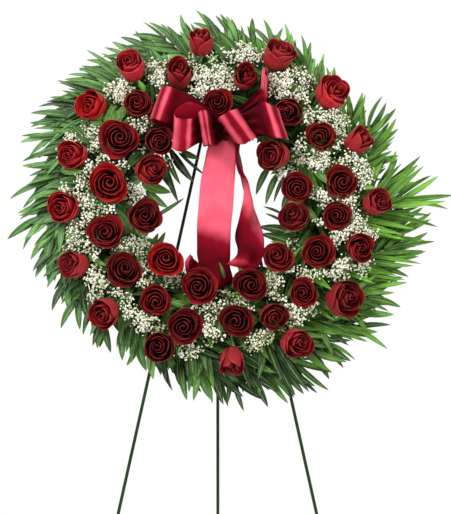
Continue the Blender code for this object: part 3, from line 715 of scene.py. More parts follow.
def rose_petal_material(settings):
    """Rose petal: living velvet. Tiny domed cells scatter light, so it has a soft sheen,
    and lighter backs; its near-black heart is painted shade and its lighter rims a painted
    highlight."""
    material, tree, shader = new_material("rose petal, velvet", {
        "Roughness": 0.6, "Sheen Weight": 0.10, "Sheen Roughness": 0.4,
        "Sheen Tint": (*linear("#ff8a90"), 1), "Specular IOR Level": 0.3,
    })
    rise, back, layer, bright, depth = [
        add_node(tree, "ShaderNodeAttribute", {"attribute_name": title}).outputs["Fac"]
        for title in ("rise", "back", "layer", "bright", "depth")]
    place = add_node(tree, "ShaderNodeTexCoord").outputs["Object"]

    # Painted shade: each petal darkens towards its foot, to the heart colour.
    deep = add_node(tree, "ShaderNodeMapRange", {"interpolation_type": "SMOOTHSTEP"},
                    {"Value": rise, "From Min": 0.25, "From Max": 0.85})
    face = add_node(tree, "ShaderNodeMix", {"data_type": "RGBA"}, {
        0: deep.outputs["Result"], 6: (*settings.heart, 1), 7: (*settings.petal, 1)})
    # Painted highlight: the rims are lighter.
    lip = add_node(tree, "ShaderNodeMapRange", {"interpolation_type": "SMOOTHSTEP"},
                   {"Value": rise, "From Min": 0.90, "From Max": 1.0})
    rim_highlight_share = add_node(tree, "ShaderNodeMath", {"operation": "MULTIPLY"},
                         {0: lip.outputs["Result"], 1: 0.6})
    rim_highlighted = add_node(tree, "ShaderNodeMix", {"data_type": "RGBA"}, {
        0: rim_highlight_share.outputs[0], 6: face.outputs[2], 7: (*settings.rim, 1)})
    outside = add_node(tree, "ShaderNodeMapRange", {}, {
        "Value": layer, "From Min": 0.45, "From Max": 0.95, "To Max": 0.85})
    back_share = add_node(tree, "ShaderNodeMath", {"operation": "MULTIPLY"},
                          {0: back, 1: outside.outputs["Result"]})
    backed = add_node(tree, "ShaderNodeMix", {"data_type": "RGBA"}, {
        0: back_share.outputs[0], 6: rim_highlighted.outputs[2], 7: (*settings.back, 1)})
    bright_share = add_node(tree, "ShaderNodeMath", {"operation": "MULTIPLY"},
                            {0: bright, 1: deep.outputs["Result"]})
    bright_share = add_node(tree, "ShaderNodeMath", {"operation": "MULTIPLY"},
                            {0: bright_share.outputs[0], 1: 0.8})
    tinted = add_node(tree, "ShaderNodeMix", {"data_type": "RGBA"}, {
        0: bright_share.outputs[0], 6: backed.outputs[2], 7: (*settings.bright, 1)})
    # Blotches about 12 mm across, where the petal is bruised or thicker.
    blotch = add_node(tree, "ShaderNodeTexNoise", {}, {
        "Vector": place, "Scale": 1 / (12 * MM), "Detail": 2.0})
    value = add_node(tree, "ShaderNodeMapRange", {}, {
        "Value": blotch.outputs["Fac"], "From Min": 0.3, "From Max": 0.7,
        "To Min": 0.82, "To Max": 1.15})
    value = add_node(tree, "ShaderNodeMath", {"operation": "MULTIPLY"},
                     {0: value.outputs["Result"], 1: depth})
    # Painted shade: the petals of the heart are darker.
    middle = add_node(tree, "ShaderNodeMapRange", {}, {
        "Value": layer, "From Min": 0.10, "From Max": 0.50, "To Min": 0.80, "To Max": 1.0})
    value = add_node(tree, "ShaderNodeMath", {"operation": "MULTIPLY"},
                     {0: value.outputs[0], 1: middle.outputs["Result"]})
    colour = add_node(tree, "ShaderNodeHueSaturation", {}, {
        "Color": tinted.outputs[2], "Value": value.outputs[0]})
    tree.links.new(colour.outputs["Color"], shader.inputs["Base Color"])
    # Veins run up the petal about 1 mm apart, drawn shallow.
    flat = add_node(tree, "ShaderNodeUVMap", {"uv_map": "cloth"}).outputs["UV"]
    stretch = add_node(tree, "ShaderNodeMapping", {}, {
        "Vector": flat, "Scale": (1 / (1 * MM), 1 / (14 * MM), 1)})
    veins = add_node(tree, "ShaderNodeTexNoise", {}, {
        "Vector": stretch.outputs["Vector"], "Scale": 1.0, "Detail": 1.0})
    bump = add_node(tree, "ShaderNodeBump", {}, {
        "Height": veins.outputs["Fac"], "Strength": 0.25, "Distance": 0.3 * MM})
    tree.links.new(bump.outputs["Normal"], shader.inputs["Normal"])
    return material


def green_stem_material(name, light, dark, roughness):
    """Green stem or sepal: waxy skin, a little uneven in colour from light to dark green."""
    material, tree, shader = new_material(name, {
        "Roughness": roughness, "Specular IOR Level": 0.4})
    place = add_node(tree, "ShaderNodeTexCoord").outputs["Object"]
    patch = add_node(tree, "ShaderNodeTexNoise", {}, {
        "Vector": place, "Scale": 1 / (6 * MM), "Detail": 3.0})
    colour = add_node(tree, "ShaderNodeMix", {"data_type": "RGBA"}, {
        0: patch.outputs["Fac"], 6: (*light, 1), 7: (*dark, 1)})
    tree.links.new(colour.outputs[2], shader.inputs["Base Color"])
    bump = add_node(tree, "ShaderNodeBump", {}, {
        "Height": patch.outputs["Fac"], "Strength": 0.2, "Distance": 0.3 * MM})
    tree.links.new(bump.outputs["Normal"], shader.inputs["Normal"])
    return material


# ---- leaves ----

def leaflet_mesh(name, sickle):
    """A unit palm leaflet along +Y: folded along its midrib, pointed, drooping, and curved
    sideways by sickle leaflet widths."""
    stations = np.array((0.0, 0.07, 0.18, 0.32, 0.48, 0.64, 0.78, 0.90, 1.0))
    u = np.array((-1.0, -0.5, 0.0, 0.5, 1.0))
    half = 0.5 * (stations + 0.02) ** 0.55 * (1.003 - stations) ** 0.8
    half = half / half.max() * 0.5
    x = half[:, None] * u[None, :]
    y = stations[:, None] + 0 * u[None, :]
    fold = 0.9 * np.abs(u)[None, :] * half[:, None]
    z = fold - 0.55 * y ** 2.2
    grid = np.stack([x + sickle * y ** 2, y, z], axis=2)
    normal = np.zeros_like(grid)
    normal[..., 2] = 1
    points, faces, _ = shell(grid, normal, 0.035)
    mesh = bpy.data.meshes.new(name)
    mesh.from_pydata(points.tolist(), [], faces.tolist())
    flat = np.tile(np.stack([(u[None, :] + 0 * y).ravel(), y.ravel()], 1), (2, 1))
    add_uv(mesh, "leaf", flat)
    mesh.polygons.foreach_set("use_smooth", np.ones(len(mesh.polygons), bool))
    obj = new_object(name, mesh)
    outward_faces(obj)
    obj.hide_render = True
    return obj


def growing_tree(name, inputs):
    """A new node tree from geometry to geometry with named inputs, and what it is given."""
    tree = bpy.data.node_groups.new(name, "GeometryNodeTree")
    sockets = [("Geometry", "Geometry", "INPUT")]
    sockets += [(title, kind, "INPUT") for title, kind in inputs.items()]
    sockets += [("Material", "Material", "INPUT"), ("Geometry", "Geometry", "OUTPUT")]
    for title, kind, way in sockets:
        tree.interface.new_socket(name=title, in_out=way, socket_type="NodeSocket" + kind)
    return tree, add_node(tree, "NodeGroupInput").outputs


def end_tree(tree, geometry, material):
    """Ends a node tree in real geometry that has the material."""
    solid = add_node(tree, "GeometryNodeRealizeInstances", {}, {"Geometry": geometry})
    done = add_node(tree, "GeometryNodeSetMaterial", {}, {
        "Geometry": solid.outputs["Geometry"], "Material": material})
    add_node(tree, "NodeGroupOutput", {}, {"Geometry": done.outputs["Geometry"]})
    return tree


def scatter_tree():
    """Nodes that put a copy of a shape on each point, aimed, turned up and scaled by attributes."""
    tree, given = growing_tree("shape on points", {
        "Shape": "Object", "Size": "Float", "Unevenness": "Float", "Seed": "Int"})
    aim, up, size = [
        add_node(tree, "GeometryNodeInputNamedAttribute", {"data_type": "FLOAT_VECTOR"},
                 {"Name": title}).outputs["Attribute"] for title in ("aim", "up", "size")]
    pointed = add_node(tree, "FunctionNodeAlignRotationToVector", {"axis": "Y"}, {"Vector": aim})
    turned = add_node(tree, "FunctionNodeAlignRotationToVector", {
        "axis": "Z", "pivot_axis": "Y"}, {
        "Rotation": pointed.outputs["Rotation"], "Vector": up})
    shape = add_node(tree, "GeometryNodeObjectInfo", {"transform_space": "ORIGINAL"},
                     {"Object": given["Shape"]})
    low = add_node(tree, "ShaderNodeMath", {"operation": "SUBTRACT"},
                   {0: 1.0, 1: given["Unevenness"]})
    high = add_node(tree, "ShaderNodeMath", {"operation": "ADD"},
                    {0: 1.0, 1: given["Unevenness"]})
    vary = add_node(tree, "FunctionNodeRandomValue", {"data_type": "FLOAT"}, {
        2: low.outputs[0], 3: high.outputs[0], "Seed": given["Seed"]})
    all_sizes = add_node(tree, "ShaderNodeMath", {"operation": "MULTIPLY"},
                         {0: given["Size"], 1: vary.outputs[1]})
    scale = add_node(tree, "ShaderNodeVectorMath", {"operation": "SCALE"}, {
        0: size, "Scale": all_sizes.outputs[0]})
    copies = add_node(tree, "GeometryNodeInstanceOnPoints", {}, {
        "Points": given["Geometry"], "Instance": shape.outputs["Geometry"],
        "Rotation": turned.outputs["Rotation"], "Scale": scale.outputs["Vector"]})
    return end_tree(tree, copies.outputs["Instances"], given["Material"])


def twig_tree():
    """Nodes that sweep a small round section along every edge, thick as its attribute says."""
    tree, given = growing_tree("stalks on edges", {"Sides": "Int", "Radius": "Float"})
    lines = add_node(tree, "GeometryNodeMeshToCurve", {}, {"Mesh": given["Geometry"]})
    thick = add_node(tree, "GeometryNodeInputNamedAttribute", {"data_type": "FLOAT"},
                     {"Name": "thick"})
    radius = add_node(tree, "GeometryNodeSetCurveRadius", {}, {
        "Curve": lines.outputs["Curve"], "Radius": thick.outputs["Attribute"]})
    section = add_node(tree, "GeometryNodeCurvePrimitiveCircle", {}, {
        "Resolution": given["Sides"], "Radius": given["Radius"]})
    swept = add_node(tree, "GeometryNodeCurveToMesh", {}, {
        "Curve": radius.outputs["Curve"], "Profile Curve": section.outputs["Curve"],
        "Scale": thick.outputs["Attribute"], "Fill Caps": True})
    return end_tree(tree, swept.outputs["Mesh"], given["Material"])


def grown(name, base, tree, values):
    """The plain mesh that a node tree makes from a base mesh, with its inputs set by identifier."""
    carrier = new_object(name, base)
    modifier = carrier.modifiers.new("grow", "NODES")
    modifier.node_group = tree
    for item in tree.interface.items_tree:
        if item.in_out == "INPUT" and item.name in values:
            modifier[item.identifier] = values[item.name]
    bpy.context.view_layer.update()
    graph = bpy.context.evaluated_depsgraph_get()
    mesh = bpy.data.meshes.new_from_object(carrier.evaluated_get(graph))
    mesh.name = name
    bpy.data.objects.remove(carrier)
    return mesh


def points_mesh(name, points, vectors, floats, edges=()):
    """A mesh of loose points or edges in the row frame that carries attributes for a node tree."""
    mesh = bpy.data.meshes.new(name)
    mesh.from_pydata([tuple(p) for p in to_world(points)], [tuple(e) for e in edges], [])
    turn = np.array(WREATH)[:3, :3]
    for title, values in vectors.items():
        layer = mesh.attributes.new(title, "FLOAT_VECTOR", "POINT")
        rows = np.asarray(values, float)
        if title != "size":
            rows = rows @ turn.T
        layer.data.foreach_set("vector", rows.astype(np.float32).ravel())
    for title, values in floats.items():
        add_layer(mesh, title, values)
    return mesh


def joined(name, meshes):
    """One object at the origin from several meshes."""
    objects = [new_object(name, mesh) for mesh in meshes]
    with bpy.context.temp_override(active_object=objects[0], object=objects[0],
                                   selected_objects=objects,
                                   selected_editable_objects=objects):
        bpy.ops.object.join()
    objects[0].name = name
    objects[0].data.name = name
    return objects[0]


class Foliage:
    """Leaflets and stalks gathered for one spray before they are grown."""

    def __init__(self):
        self.leaflets = []
        self.stalk_points, self.stalk_edges, self.stalk_thick = [], [], []

    def leaflet(self, root, aim, up, length, width, droop, tone, cool, curve=0):
        """Adds a leaflet; curve is 0 for one that curves left and 1 for one that curves right."""
        size = (width, length, droop * length)
        self.leaflets.append((curve, root, aim, up, size, tone, cool))

    def stalk(self, path, radii):
        """Adds a stalk along a path."""
        start = len(self.stalk_points)
        self.stalk_points.extend(path)
        self.stalk_thick.extend(radii)
        self.stalk_edges.extend((start + i, start + i + 1) for i in range(len(path) - 1))

    def grow(self, name, shapes, trees, materials, settings, seed):
        """One object of all the leaflets and stalks."""
        meshes = []
        for curve, shape in enumerate(shapes):
            rows = [leaflet[1:] for leaflet in self.leaflets if leaflet[0] == curve]
            if not rows:
                continue
            roots, aims, ups, sizes, tones, cools = [np.array(values) for values in zip(*rows)]
            leaves = points_mesh(name, roots, {"aim": aims, "up": ups, "size": sizes},
                                 {"tone": tones, "cool": cools})
            meshes.append(grown(name, leaves, trees[0], {
                "Shape": shape, "Size": 1.0, "Unevenness": settings.unevenness, "Seed": seed,
                "Material": materials[0]}))
        if self.stalk_points:
            stalks = points_mesh(name, self.stalk_points, {}, {"thick": self.stalk_thick},
                                 self.stalk_edges)
            meshes.append(grown(name, stalks, trees[1], {
                "Sides": 6, "Radius": 1.0, "Material": materials[1]}))
        return joined(name, meshes)


def frond_tone(clock, rng):
    """Painted light and shade: leaves are darkest at the bottom, where the flowers shade them,
    lightest at the right, and differ a little at random.
    """
    low = max(0.0, -math.cos(math.radians(clock)))
    right = max(0.0, math.sin(math.radians(clock)))
    tone = 0.57 + 0.08 * right ** 2 - 0.40 * low ** 1.6
    return tone + rng.uniform(-0.10, 0.10)


def frond_cool(clock):
    """How bluish the green is: most at the left and the top left."""
    return 0.5 - 0.5 * math.cos(math.radians(clock - 110))


def add_frond(foliage, frond, behind, rng, settings):
    """One pinnate frond: a curved stalk with leaflets in pairs that close towards its tip."""
    clock, reach, heading, longest = frond
    longest *= settings.leaflet_length
    outward, _ = ring_ways(clock)
    way, _ = ring_ways(heading)
    tip = outward * reach
    back = tip - way * FROND_LENGTH
    root = back / np.linalg.norm(back) * rng.uniform(*FROND_ROOTS)
    bend = tip - way * 0.55 * np.linalg.norm(tip - root)
    base = FROND_HEIGHT - UNDER_DROP * behind
    crown = rng.uniform(0.008, 0.026) - 0.008 * behind
    sag = 0.006 * abs(math.sin(math.radians(clock)))
    steps = 8
    path = []
    for i in range(steps + 1):
        s = i / steps
        place = root * (1 - s) ** 2 + bend * 2 * s * (1 - s) + tip * s * s
        path.append(place + np.array((0, -sag * s * s, base + crown * math.sin(2.2 * s))))
    foliage.stalk(path, [STALK_RADIUS - STALK_TAPER * i / steps for i in range(steps + 1)])
    pairs = int(rng.integers(8, 10)) - 2 * behind
    ways = np.gradient(np.array(path), axis=0)
    # A frond under another is painted darker, as painted shade.
    tone = frond_tone(clock, rng) - 0.30 * behind
    broad = 0.96 + 0.13 * math.cos(math.radians(clock - 225))
    for k in range(pairs):
        s = 0.10 + 0.90 * k / (pairs - 1)
        at = s * steps
        i = min(int(at), steps - 1)
        place = path[i] + (path[i + 1] - path[i]) * (at - i)
        way = ways[min(i + 1, steps)] / np.linalg.norm(ways[min(i + 1, steps)])
        cross = np.cross(way, (0, 0, 1.0))
        cross /= np.linalg.norm(cross)
        for side in (-1, 1):
            spread = math.radians(54 - 38 * s ** 1.2 + rng.uniform(-9, 9))
            spread *= 0.70 if side > 0 else 1.0
            aim = way * math.cos(spread) + cross * side * math.sin(spread)
            aim = aim + np.array((0, -0.02, rng.uniform(-0.16, 0.14)))
            up = np.array((0, 0.2, 1.0)) + cross * side * rng.uniform(-0.4, 0.8)
            up = up + way * rng.uniform(-0.2, 0.1)
            length = longest * (0.74 + 0.30 * math.sin(math.pi * (0.15 + 0.7 * s)))
            length *= rng.uniform(0.84, 1.06)
            curve = int(rng.uniform() < 0.15)
            foliage.leaflet(place, aim, up, length,
                            settings.leaflet_width * broad * rng.uniform(0.72, 1.12),
                            rng.uniform(0.04, 0.22), tone + rng.uniform(-0.36, 0.26),
                            frond_cool(clock), curve)


def add_filler(foliage, first, last, count, rng):
    """Dark leaves that stand up out of the foam and fill the gaps between the flowers; their dark
    tone is partly painted shade in those gaps.
    """
    span = (last - first) % 360
    for k in range(count):
        clock = first + span * (k + rng.uniform(0, 1)) / count
        outward, around = ring_ways(clock)
        inward = k % 5 in (0, 2)
        radius = rng.uniform(*FILLER_IN) if inward else rng.uniform(*FILLER_OUT)
        aim = outward * (-0.9 if inward else rng.uniform(0.1, 1.2))
        aim = aim + around * rng.uniform(-0.9, 0.9)
        if k % 5 == 4:
            # One leaf in five lies along the ring and hides the foam's inner edge.
            radius = rng.uniform(*FILLER_ALONG)
            aim = around * (1 if k % 2 else -1) + outward * rng.uniform(-0.35, 0.35)
        root = outward * radius + np.array((0, 0, rng.uniform(*FILLER_HEIGHTS)))
        aim = aim + np.array((0, 0, rng.uniform(0.0, 0.35) if inward else rng.uniform(0.2, 0.75)))
        up = np.array((0, 0.3, 1.0)) - outward * 0.3 + around * rng.uniform(-0.4, 0.4)
        length = rng.uniform(*SHORT_FILLER) if inward else rng.uniform(*LONG_FILLER)
        foliage.leaflet(root, aim, up, length, rng.uniform(*FILLER_WIDTHS),
                        rng.uniform(0.15, 0.45), rng.uniform(0.04, 0.56), frond_cool(clock))


def add_placed_leaves(foliage, rows, height, rise, rng):
    """Single leaves from their roots to their tips, which stand higher over the tray."""
    for (root_x, root_y), (tip_x, tip_y), width, tone in rows:
        root = np.array((root_x, root_y, height))
        tip = np.array((tip_x, tip_y, height + rise))
        length = np.linalg.norm(tip - root)
        foliage.leaflet(root, tip - root, (0, 0.1, 1.0), length, width, 0.06,
                        tone + rng.uniform(-0.04, 0.04), 0.2)


def fern_sprig(foliage, root, tip, pairs, rng):
    """A small feathery sprig of short leaflets on one stalk."""
    root, tip = np.array(root), np.array(tip)
    way = tip - root
    length = np.linalg.norm(way)
    cross = np.cross(way / length, (0, 0, 1.0))
    foliage.stalk([root + way * s for s in (0, 0.5, 1)], FERN_STALK)
    for k in range(pairs):
        s = 0.08 + 0.92 * k / (pairs - 1)
        size = length * (0.44 - 0.26 * s)
        for side in (-1, 1):
            aim = way / length * 0.75 + cross * side * 0.8 + np.array((0, 0, 0.15))
            foliage.leaflet(root + way * s, aim, (0, 0.2, 1.0), size, FERN_WIDTH, 0.1,
                            rng.uniform(0.25, 0.70), 0.0)


def palm_leaf_material(settings):
    """Palm leaflet: thin waxy blade with parallel ribs, glossy where it catches the light; its tone
    is partly painted light and shade, and it is painted darker towards its foot.
    """
    material, tree, shader = new_material("palm leaf, waxy", {
        "Roughness": 0.45, "Specular IOR Level": 0.36})
    tone = add_node(tree, "ShaderNodeAttribute", {"attribute_name": "tone"}).outputs["Fac"]
    flat = add_node(tree, "ShaderNodeUVMap", {"uv_map": "leaf"}).outputs["UV"]
    place = add_node(tree, "ShaderNodeTexCoord").outputs["Object"]
    patch = add_node(tree, "ShaderNodeTexNoise", {}, {
        "Vector": place, "Scale": 1 / (20 * MM), "Detail": 2.0})
    shift = add_node(tree, "ShaderNodeMapRange", {}, {
        "Value": patch.outputs["Fac"], "From Min": 0.3, "From Max": 0.7,
        "To Min": -0.12, "To Max": 0.12})
    mixed = add_node(tree, "ShaderNodeMath", {"operation": "ADD", "use_clamp": True},
                     {0: tone, 1: shift.outputs["Result"]})
    cool = add_node(tree, "ShaderNodeAttribute", {"attribute_name": "cool"}).outputs["Fac"]
    light = add_node(tree, "ShaderNodeMix", {"data_type": "RGBA"}, {
        0: cool, 6: (*settings.light_leaf, 1), 7: (*settings.cool_leaf, 1)})
    colour = add_node(tree, "ShaderNodeMix", {"data_type": "RGBA"}, {
        0: mixed.outputs[0], 6: (*settings.dark_leaf, 1), 7: light.outputs[2]})
    across = add_node(tree, "ShaderNodeSeparateXYZ", {}, {"Vector": flat})
    # Nine ribs across a blade about 15 mm wide; the paler midrib is 1 mm wide.
    rib_turn = add_node(tree, "ShaderNodeMath", {"operation": "MULTIPLY"},
                        {0: across.outputs["X"], 1: 9 * math.pi})
    ribs = add_node(tree, "ShaderNodeMath", {"operation": "COSINE"}, {0: rib_turn.outputs[0]})
    middle = add_node(tree, "ShaderNodeMath", {"operation": "ABSOLUTE"},
                      {0: across.outputs["X"]})
    midrib = add_node(tree, "ShaderNodeMapRange", {}, {
        "Value": middle.outputs[0], "From Min": 0.04, "From Max": 0.16,
        "To Min": 0.45, "To Max": 0.0})
    ribbed = add_node(tree, "ShaderNodeMix", {"data_type": "RGBA"}, {
        0: midrib.outputs["Result"], 6: colour.outputs[2], 7: (*settings.rib, 1)})
    rib_shade = add_node(tree, "ShaderNodeMapRange", {}, {
        "Value": ribs.outputs[0], "From Min": -1.0, "From Max": 1.0,
        "To Min": 0.9, "To Max": 1.1})
    # Painted shade: each leaflet darkens towards its foot.
    foot = add_node(tree, "ShaderNodeMapRange", {"interpolation_type": "SMOOTHSTEP"}, {
        "Value": across.outputs["Y"], "From Min": 0.0, "From Max": 0.7,
        "To Min": 0.55, "To Max": 1.1})
    shade = add_node(tree, "ShaderNodeMath", {"operation": "MULTIPLY"},
                     {0: rib_shade.outputs["Result"], 1: foot.outputs["Result"]})
    done = add_node(tree, "ShaderNodeHueSaturation", {}, {
        "Color": ribbed.outputs[2], "Value": shade.outputs[0]})
    tree.links.new(done.outputs["Color"], shader.inputs["Base Color"])
    bump = add_node(tree, "ShaderNodeBump", {}, {
        "Height": ribs.outputs[0], "Strength": 0.35, "Distance": 0.25 * MM})
    tree.links.new(bump.outputs["Normal"], shader.inputs["Normal"])
    return material


# ---- baby's breath ----

FLORET_FOOT = -0.42      # a unit floret's lowest point


def floret_mesh(name):
    """A unit double floret, 20 faces: five petals round a dimpled crown."""
    outer, inner = [], []
    for k in range(5):
        angle = 2 * math.pi * k / 5
        outer.append((0.50 * math.cos(angle), 0.50 * math.sin(angle), 0.02))
        angle += math.pi / 5
        inner.append((0.30 * math.cos(angle), 0.30 * math.sin(angle), 0.30))
    points = [(0, 0, FLORET_FOOT), *outer, *inner, (0, 0, 0.16)]
    faces = []
    for k in range(5):
        after = (k + 1) % 5
        faces.append((0, 1 + after, 1 + k))
        faces.append((1 + k, 1 + after, 6 + k))
        faces.append((1 + after, 6 + after, 6 + k))
        faces.append((6 + k, 6 + after, 11))
    mesh = bpy.data.meshes.new(name)
    mesh.from_pydata(points, [], faces)
    add_layer(mesh, "petal", [p[2] - FLORET_FOOT for p in points])
    obj = new_object(name, mesh)
    outward_faces(obj)
    obj.hide_render = True
    return obj


def inside_bloom(points, blooms, clear):
    """Which leaning-frame points lie in a rose or nearer to it than the clearance."""
    inside = np.zeros(len(points), bool)
    for bloom in blooms:
        away = points - bloom["leaning_centre"]
        along = away @ bloom["leaning_axis"]
        across = np.linalg.norm(away - along[:, None] * bloom["leaning_axis"], axis=1)
        share = np.clip((along / bloom["height"] - BLOOM_FOOT) / 0.5, 0, 1)
        limit = bloom["width"] / 2 * (0.25 + 0.75 * share ** 0.7) + clear
        inside |= (across < limit) & (along > BLOOM_FOOT * bloom["height"]) & (
            along < 0.75 * bloom["height"])
    return inside


def measured_blooms():
    """Every rose's place and sizes, with its middle and axis in the leaning frame too."""
    blooms = []
    turn = np.array(WREATH.inverted())[:3, :3]
    for name in rose_names():
        bloom = measure_rose(name)
        bloom["leaning_centre"] = to_leaning(bloom["centre"])
        bloom["leaning_axis"] = turn @ bloom["facing"]
        blooms.append(bloom)
    return blooms


def breath_heads(settings, rng):
    """Where the heads of baby's breath sit: most in the clumps, a few between them."""
    weights = np.array([spread ** 2 * full for _, _, spread, full in BREATH_CLUMPS])
    weights *= CLUMPED_SHARE * settings.sprigs / weights.sum()
    places = []
    for (x, y, spread, _), weight in zip(BREATH_CLUMPS, weights):
        for _ in range(int(weight + rng.uniform())):
            angle, away = rng.uniform(0, 2 * math.pi), 0.95 * spread * math.sqrt(rng.uniform())
            places.append((x + away * math.cos(angle), y + away * math.sin(angle)))
    for _ in range(settings.sprigs // HEADS_PER_STRAY):
        outward, _ = ring_ways(rng.uniform(0, 360))
        places.append(tuple((outward * rng.uniform(0.20, 0.335))[:2]))
    return places


def sprigs(blooms, settings):
    """Florets and the twigs that carry them, in the leaning frame."""
    rng = np.random.default_rng(settings.seed)
    tips, points, edges, thick = [], [], [], []
    for x, y in breath_heads(settings, rng):
        radius = math.hypot(x, y)
        outward = np.array((x, y, 0)) / radius
        crown = np.interp(radius, CROWN_RADII, CROWN_HEIGHTS)
        depth = rng.uniform(0, 1) ** 1.6
        height = crown - CROWN_DEPTH * depth
        # A head that stands lower would be seen lower, as the ring leans back, so it goes up.
        head = np.array((x, y - LEAN_SLOPE * (height - CLUMP_HEIGHT), height))
        if inside_bloom(head[None, :], blooms, 0.001)[0] and rng.uniform() < 0.97:
            continue
        foot_radius = min(max(radius, FOAM_INNER + 0.012), FOAM_OUTER - 0.006)
        foot = outward * foot_radius + np.array((0, 0, FOAM_FRONT - 0.014))
        fork = foot + (head - foot) * 0.62
        base = len(points)
        points.extend([foot, fork])
        thick.extend([STEM_RADIUS, FORK_RADIUS])
        edges.append((base, base + 1))
        for _ in range(rng.integers(3, 5)):
            away = rng.normal(size=3)
            away[2] = abs(away[2]) * 0.5
            knee = fork + (head - fork) * 0.6 + away / np.linalg.norm(away) * KNEE_REACH
            knee_index = len(points)
            points.append(knee)
            thick.append(KNEE_RADIUS)
            edges.append((base + 1, knee_index))
            for _ in range(rng.integers(4, 7)):
                spread = rng.normal(size=3)
                spread[2] = abs(spread[2]) * 0.8 + 0.15
                tip = knee + spread / np.linalg.norm(spread) * rng.uniform(*TIP_REACH)
                # Painted shade: florets low in a spray and on the lower part of the ring get a
                # lower tone.
                shaded = 0.22 * float(ease(-0.06, 0.24, -y))
                tips.append((tip, tip - knee, 1 - depth - shaded + rng.uniform(-0.2, 0.2)))
                points.append(tip)
                thick.append(TIP_RADIUS)
                edges.append((knee_index, len(points) - 1))
    places = np.array([tip for tip, _, _ in tips])
    aims = np.array([way for _, way, _ in tips])
    tone = np.array([value for _, _, value in tips])
    kept = ~inside_bloom(places, blooms, 0.0015)
    return places[kept], aims[kept], tone[kept], np.array(points), edges, thick


def floret_material(settings):
    """Gypsophila floret: thin matt white petals that let light through, green at the foot; florets
    low in a spray and on the lower part of the ring are painted in shade.
    """
    material, tree, shader = new_material("baby's breath floret", {
        "Roughness": 0.7, "Specular IOR Level": 0.2})
    petal_height = add_node(tree, "ShaderNodeAttribute", {"attribute_name": "petal"})
    share = add_node(tree, "ShaderNodeMapRange", {}, {
        "Value": petal_height.outputs["Fac"], "From Min": 0.05, "From Max": 0.30})
    place = add_node(tree, "ShaderNodeTexCoord").outputs["Object"]
    vary = add_node(tree, "ShaderNodeTexNoise", {}, {
        "Vector": place, "Scale": 1 / (9 * MM), "Detail": 1.0})
    cream = add_node(tree, "ShaderNodeMapRange", {}, {
        "Value": vary.outputs["Fac"], "From Min": 0.35, "From Max": 0.7, "To Max": 0.8})
    open_white = add_node(tree, "ShaderNodeMix", {"data_type": "RGBA"}, {
        0: cream.outputs["Result"], 6: (*settings.white, 1), 7: (*settings.cream, 1)})
    # Painted shade: a low tone mixes in the shaded floret colour.
    tone = add_node(tree, "ShaderNodeAttribute", {"attribute_name": "tone"})
    white = add_node(tree, "ShaderNodeMix", {"data_type": "RGBA"}, {
        0: tone.outputs["Fac"], 6: (*settings.young, 1), 7: open_white.outputs[2]})
    colour = add_node(tree, "ShaderNodeMix", {"data_type": "RGBA"}, {
        0: share.outputs["Result"], 6: (*settings.calyx, 1), 7: white.outputs[2]})
    tree.links.new(colour.outputs[2], shader.inputs["Base Color"])
    return material


# ---- ribbon ----

# Rows along each loop and tail, how high it ripples, and how many pleats it gathers into.
LOOP_STEPS, LOOP_RIPPLE, LOOP_PLEATS = 73, 0.0007, 2.5
TAIL_STEPS, TAIL_RIPPLE, TAIL_PLEATS = 97, 0.0010, 1.0
RIBBON_COLUMNS = 15


def smooth_rows(values, count):
    """Catmull-Rom rows through the given rows, count of them."""
    values = np.asarray(values, float)
    ends = np.vstack([2 * values[0] - values[1], values, 2 * values[-1] - values[-2]])
    rows = []
    for t in np.linspace(0, len(values) - 1, count):
        i = min(int(t), len(values) - 2)
        f = t - i
        a, b, c, d = ends[i], ends[i + 1], ends[i + 2], ends[i + 3]
        rows.append(0.5 * (2 * b + (c - a) * f + (2 * a - 5 * b + 4 * c - d) * f * f
                           + (3 * b - a - 3 * c + d) * f ** 3))
    return np.array(rows)


def ribbon_from_grids(name, grids, settings, materials, shades):
    """Closed ribbon from grids of points; the UV map runs in metres across and along."""
    points, faces, uv, shade = [], [], [], []
    total = 0
    along = 0.0
    for grid, tone in zip(grids, shades):
        steps = np.linalg.norm(np.diff(grid[:, grid.shape[1] // 2], axis=0), axis=1)
        length = np.concatenate([[0], np.cumsum(steps)]) + along
        along = length[-1]
        normal = grid_normals(grid)
        middle = grid - normal * settings.ribbon_thickness / 2
        these, those, _ = shell(middle, normal, settings.ribbon_thickness)
        points.append(to_world(these))
        faces.extend([tuple(int(i) + total for i in face) for face in those])
        total += len(these)
        across = np.linspace(0, settings.ribbon_width, grid.shape[1])
        flat = np.stack(np.meshgrid(across, length), axis=2).reshape(-1, 2)
        uv.append(np.tile(flat, (2, 1)))
        shade.append(np.tile((np.asarray(tone) + np.zeros(grid.shape[:2])).ravel(), 2))
    obj = new_piece(name, np.concatenate(points), faces, materials, None,
                    {"shade": np.concatenate(shade)}, np.concatenate(uv))
    outward_faces(obj)
    return obj, along


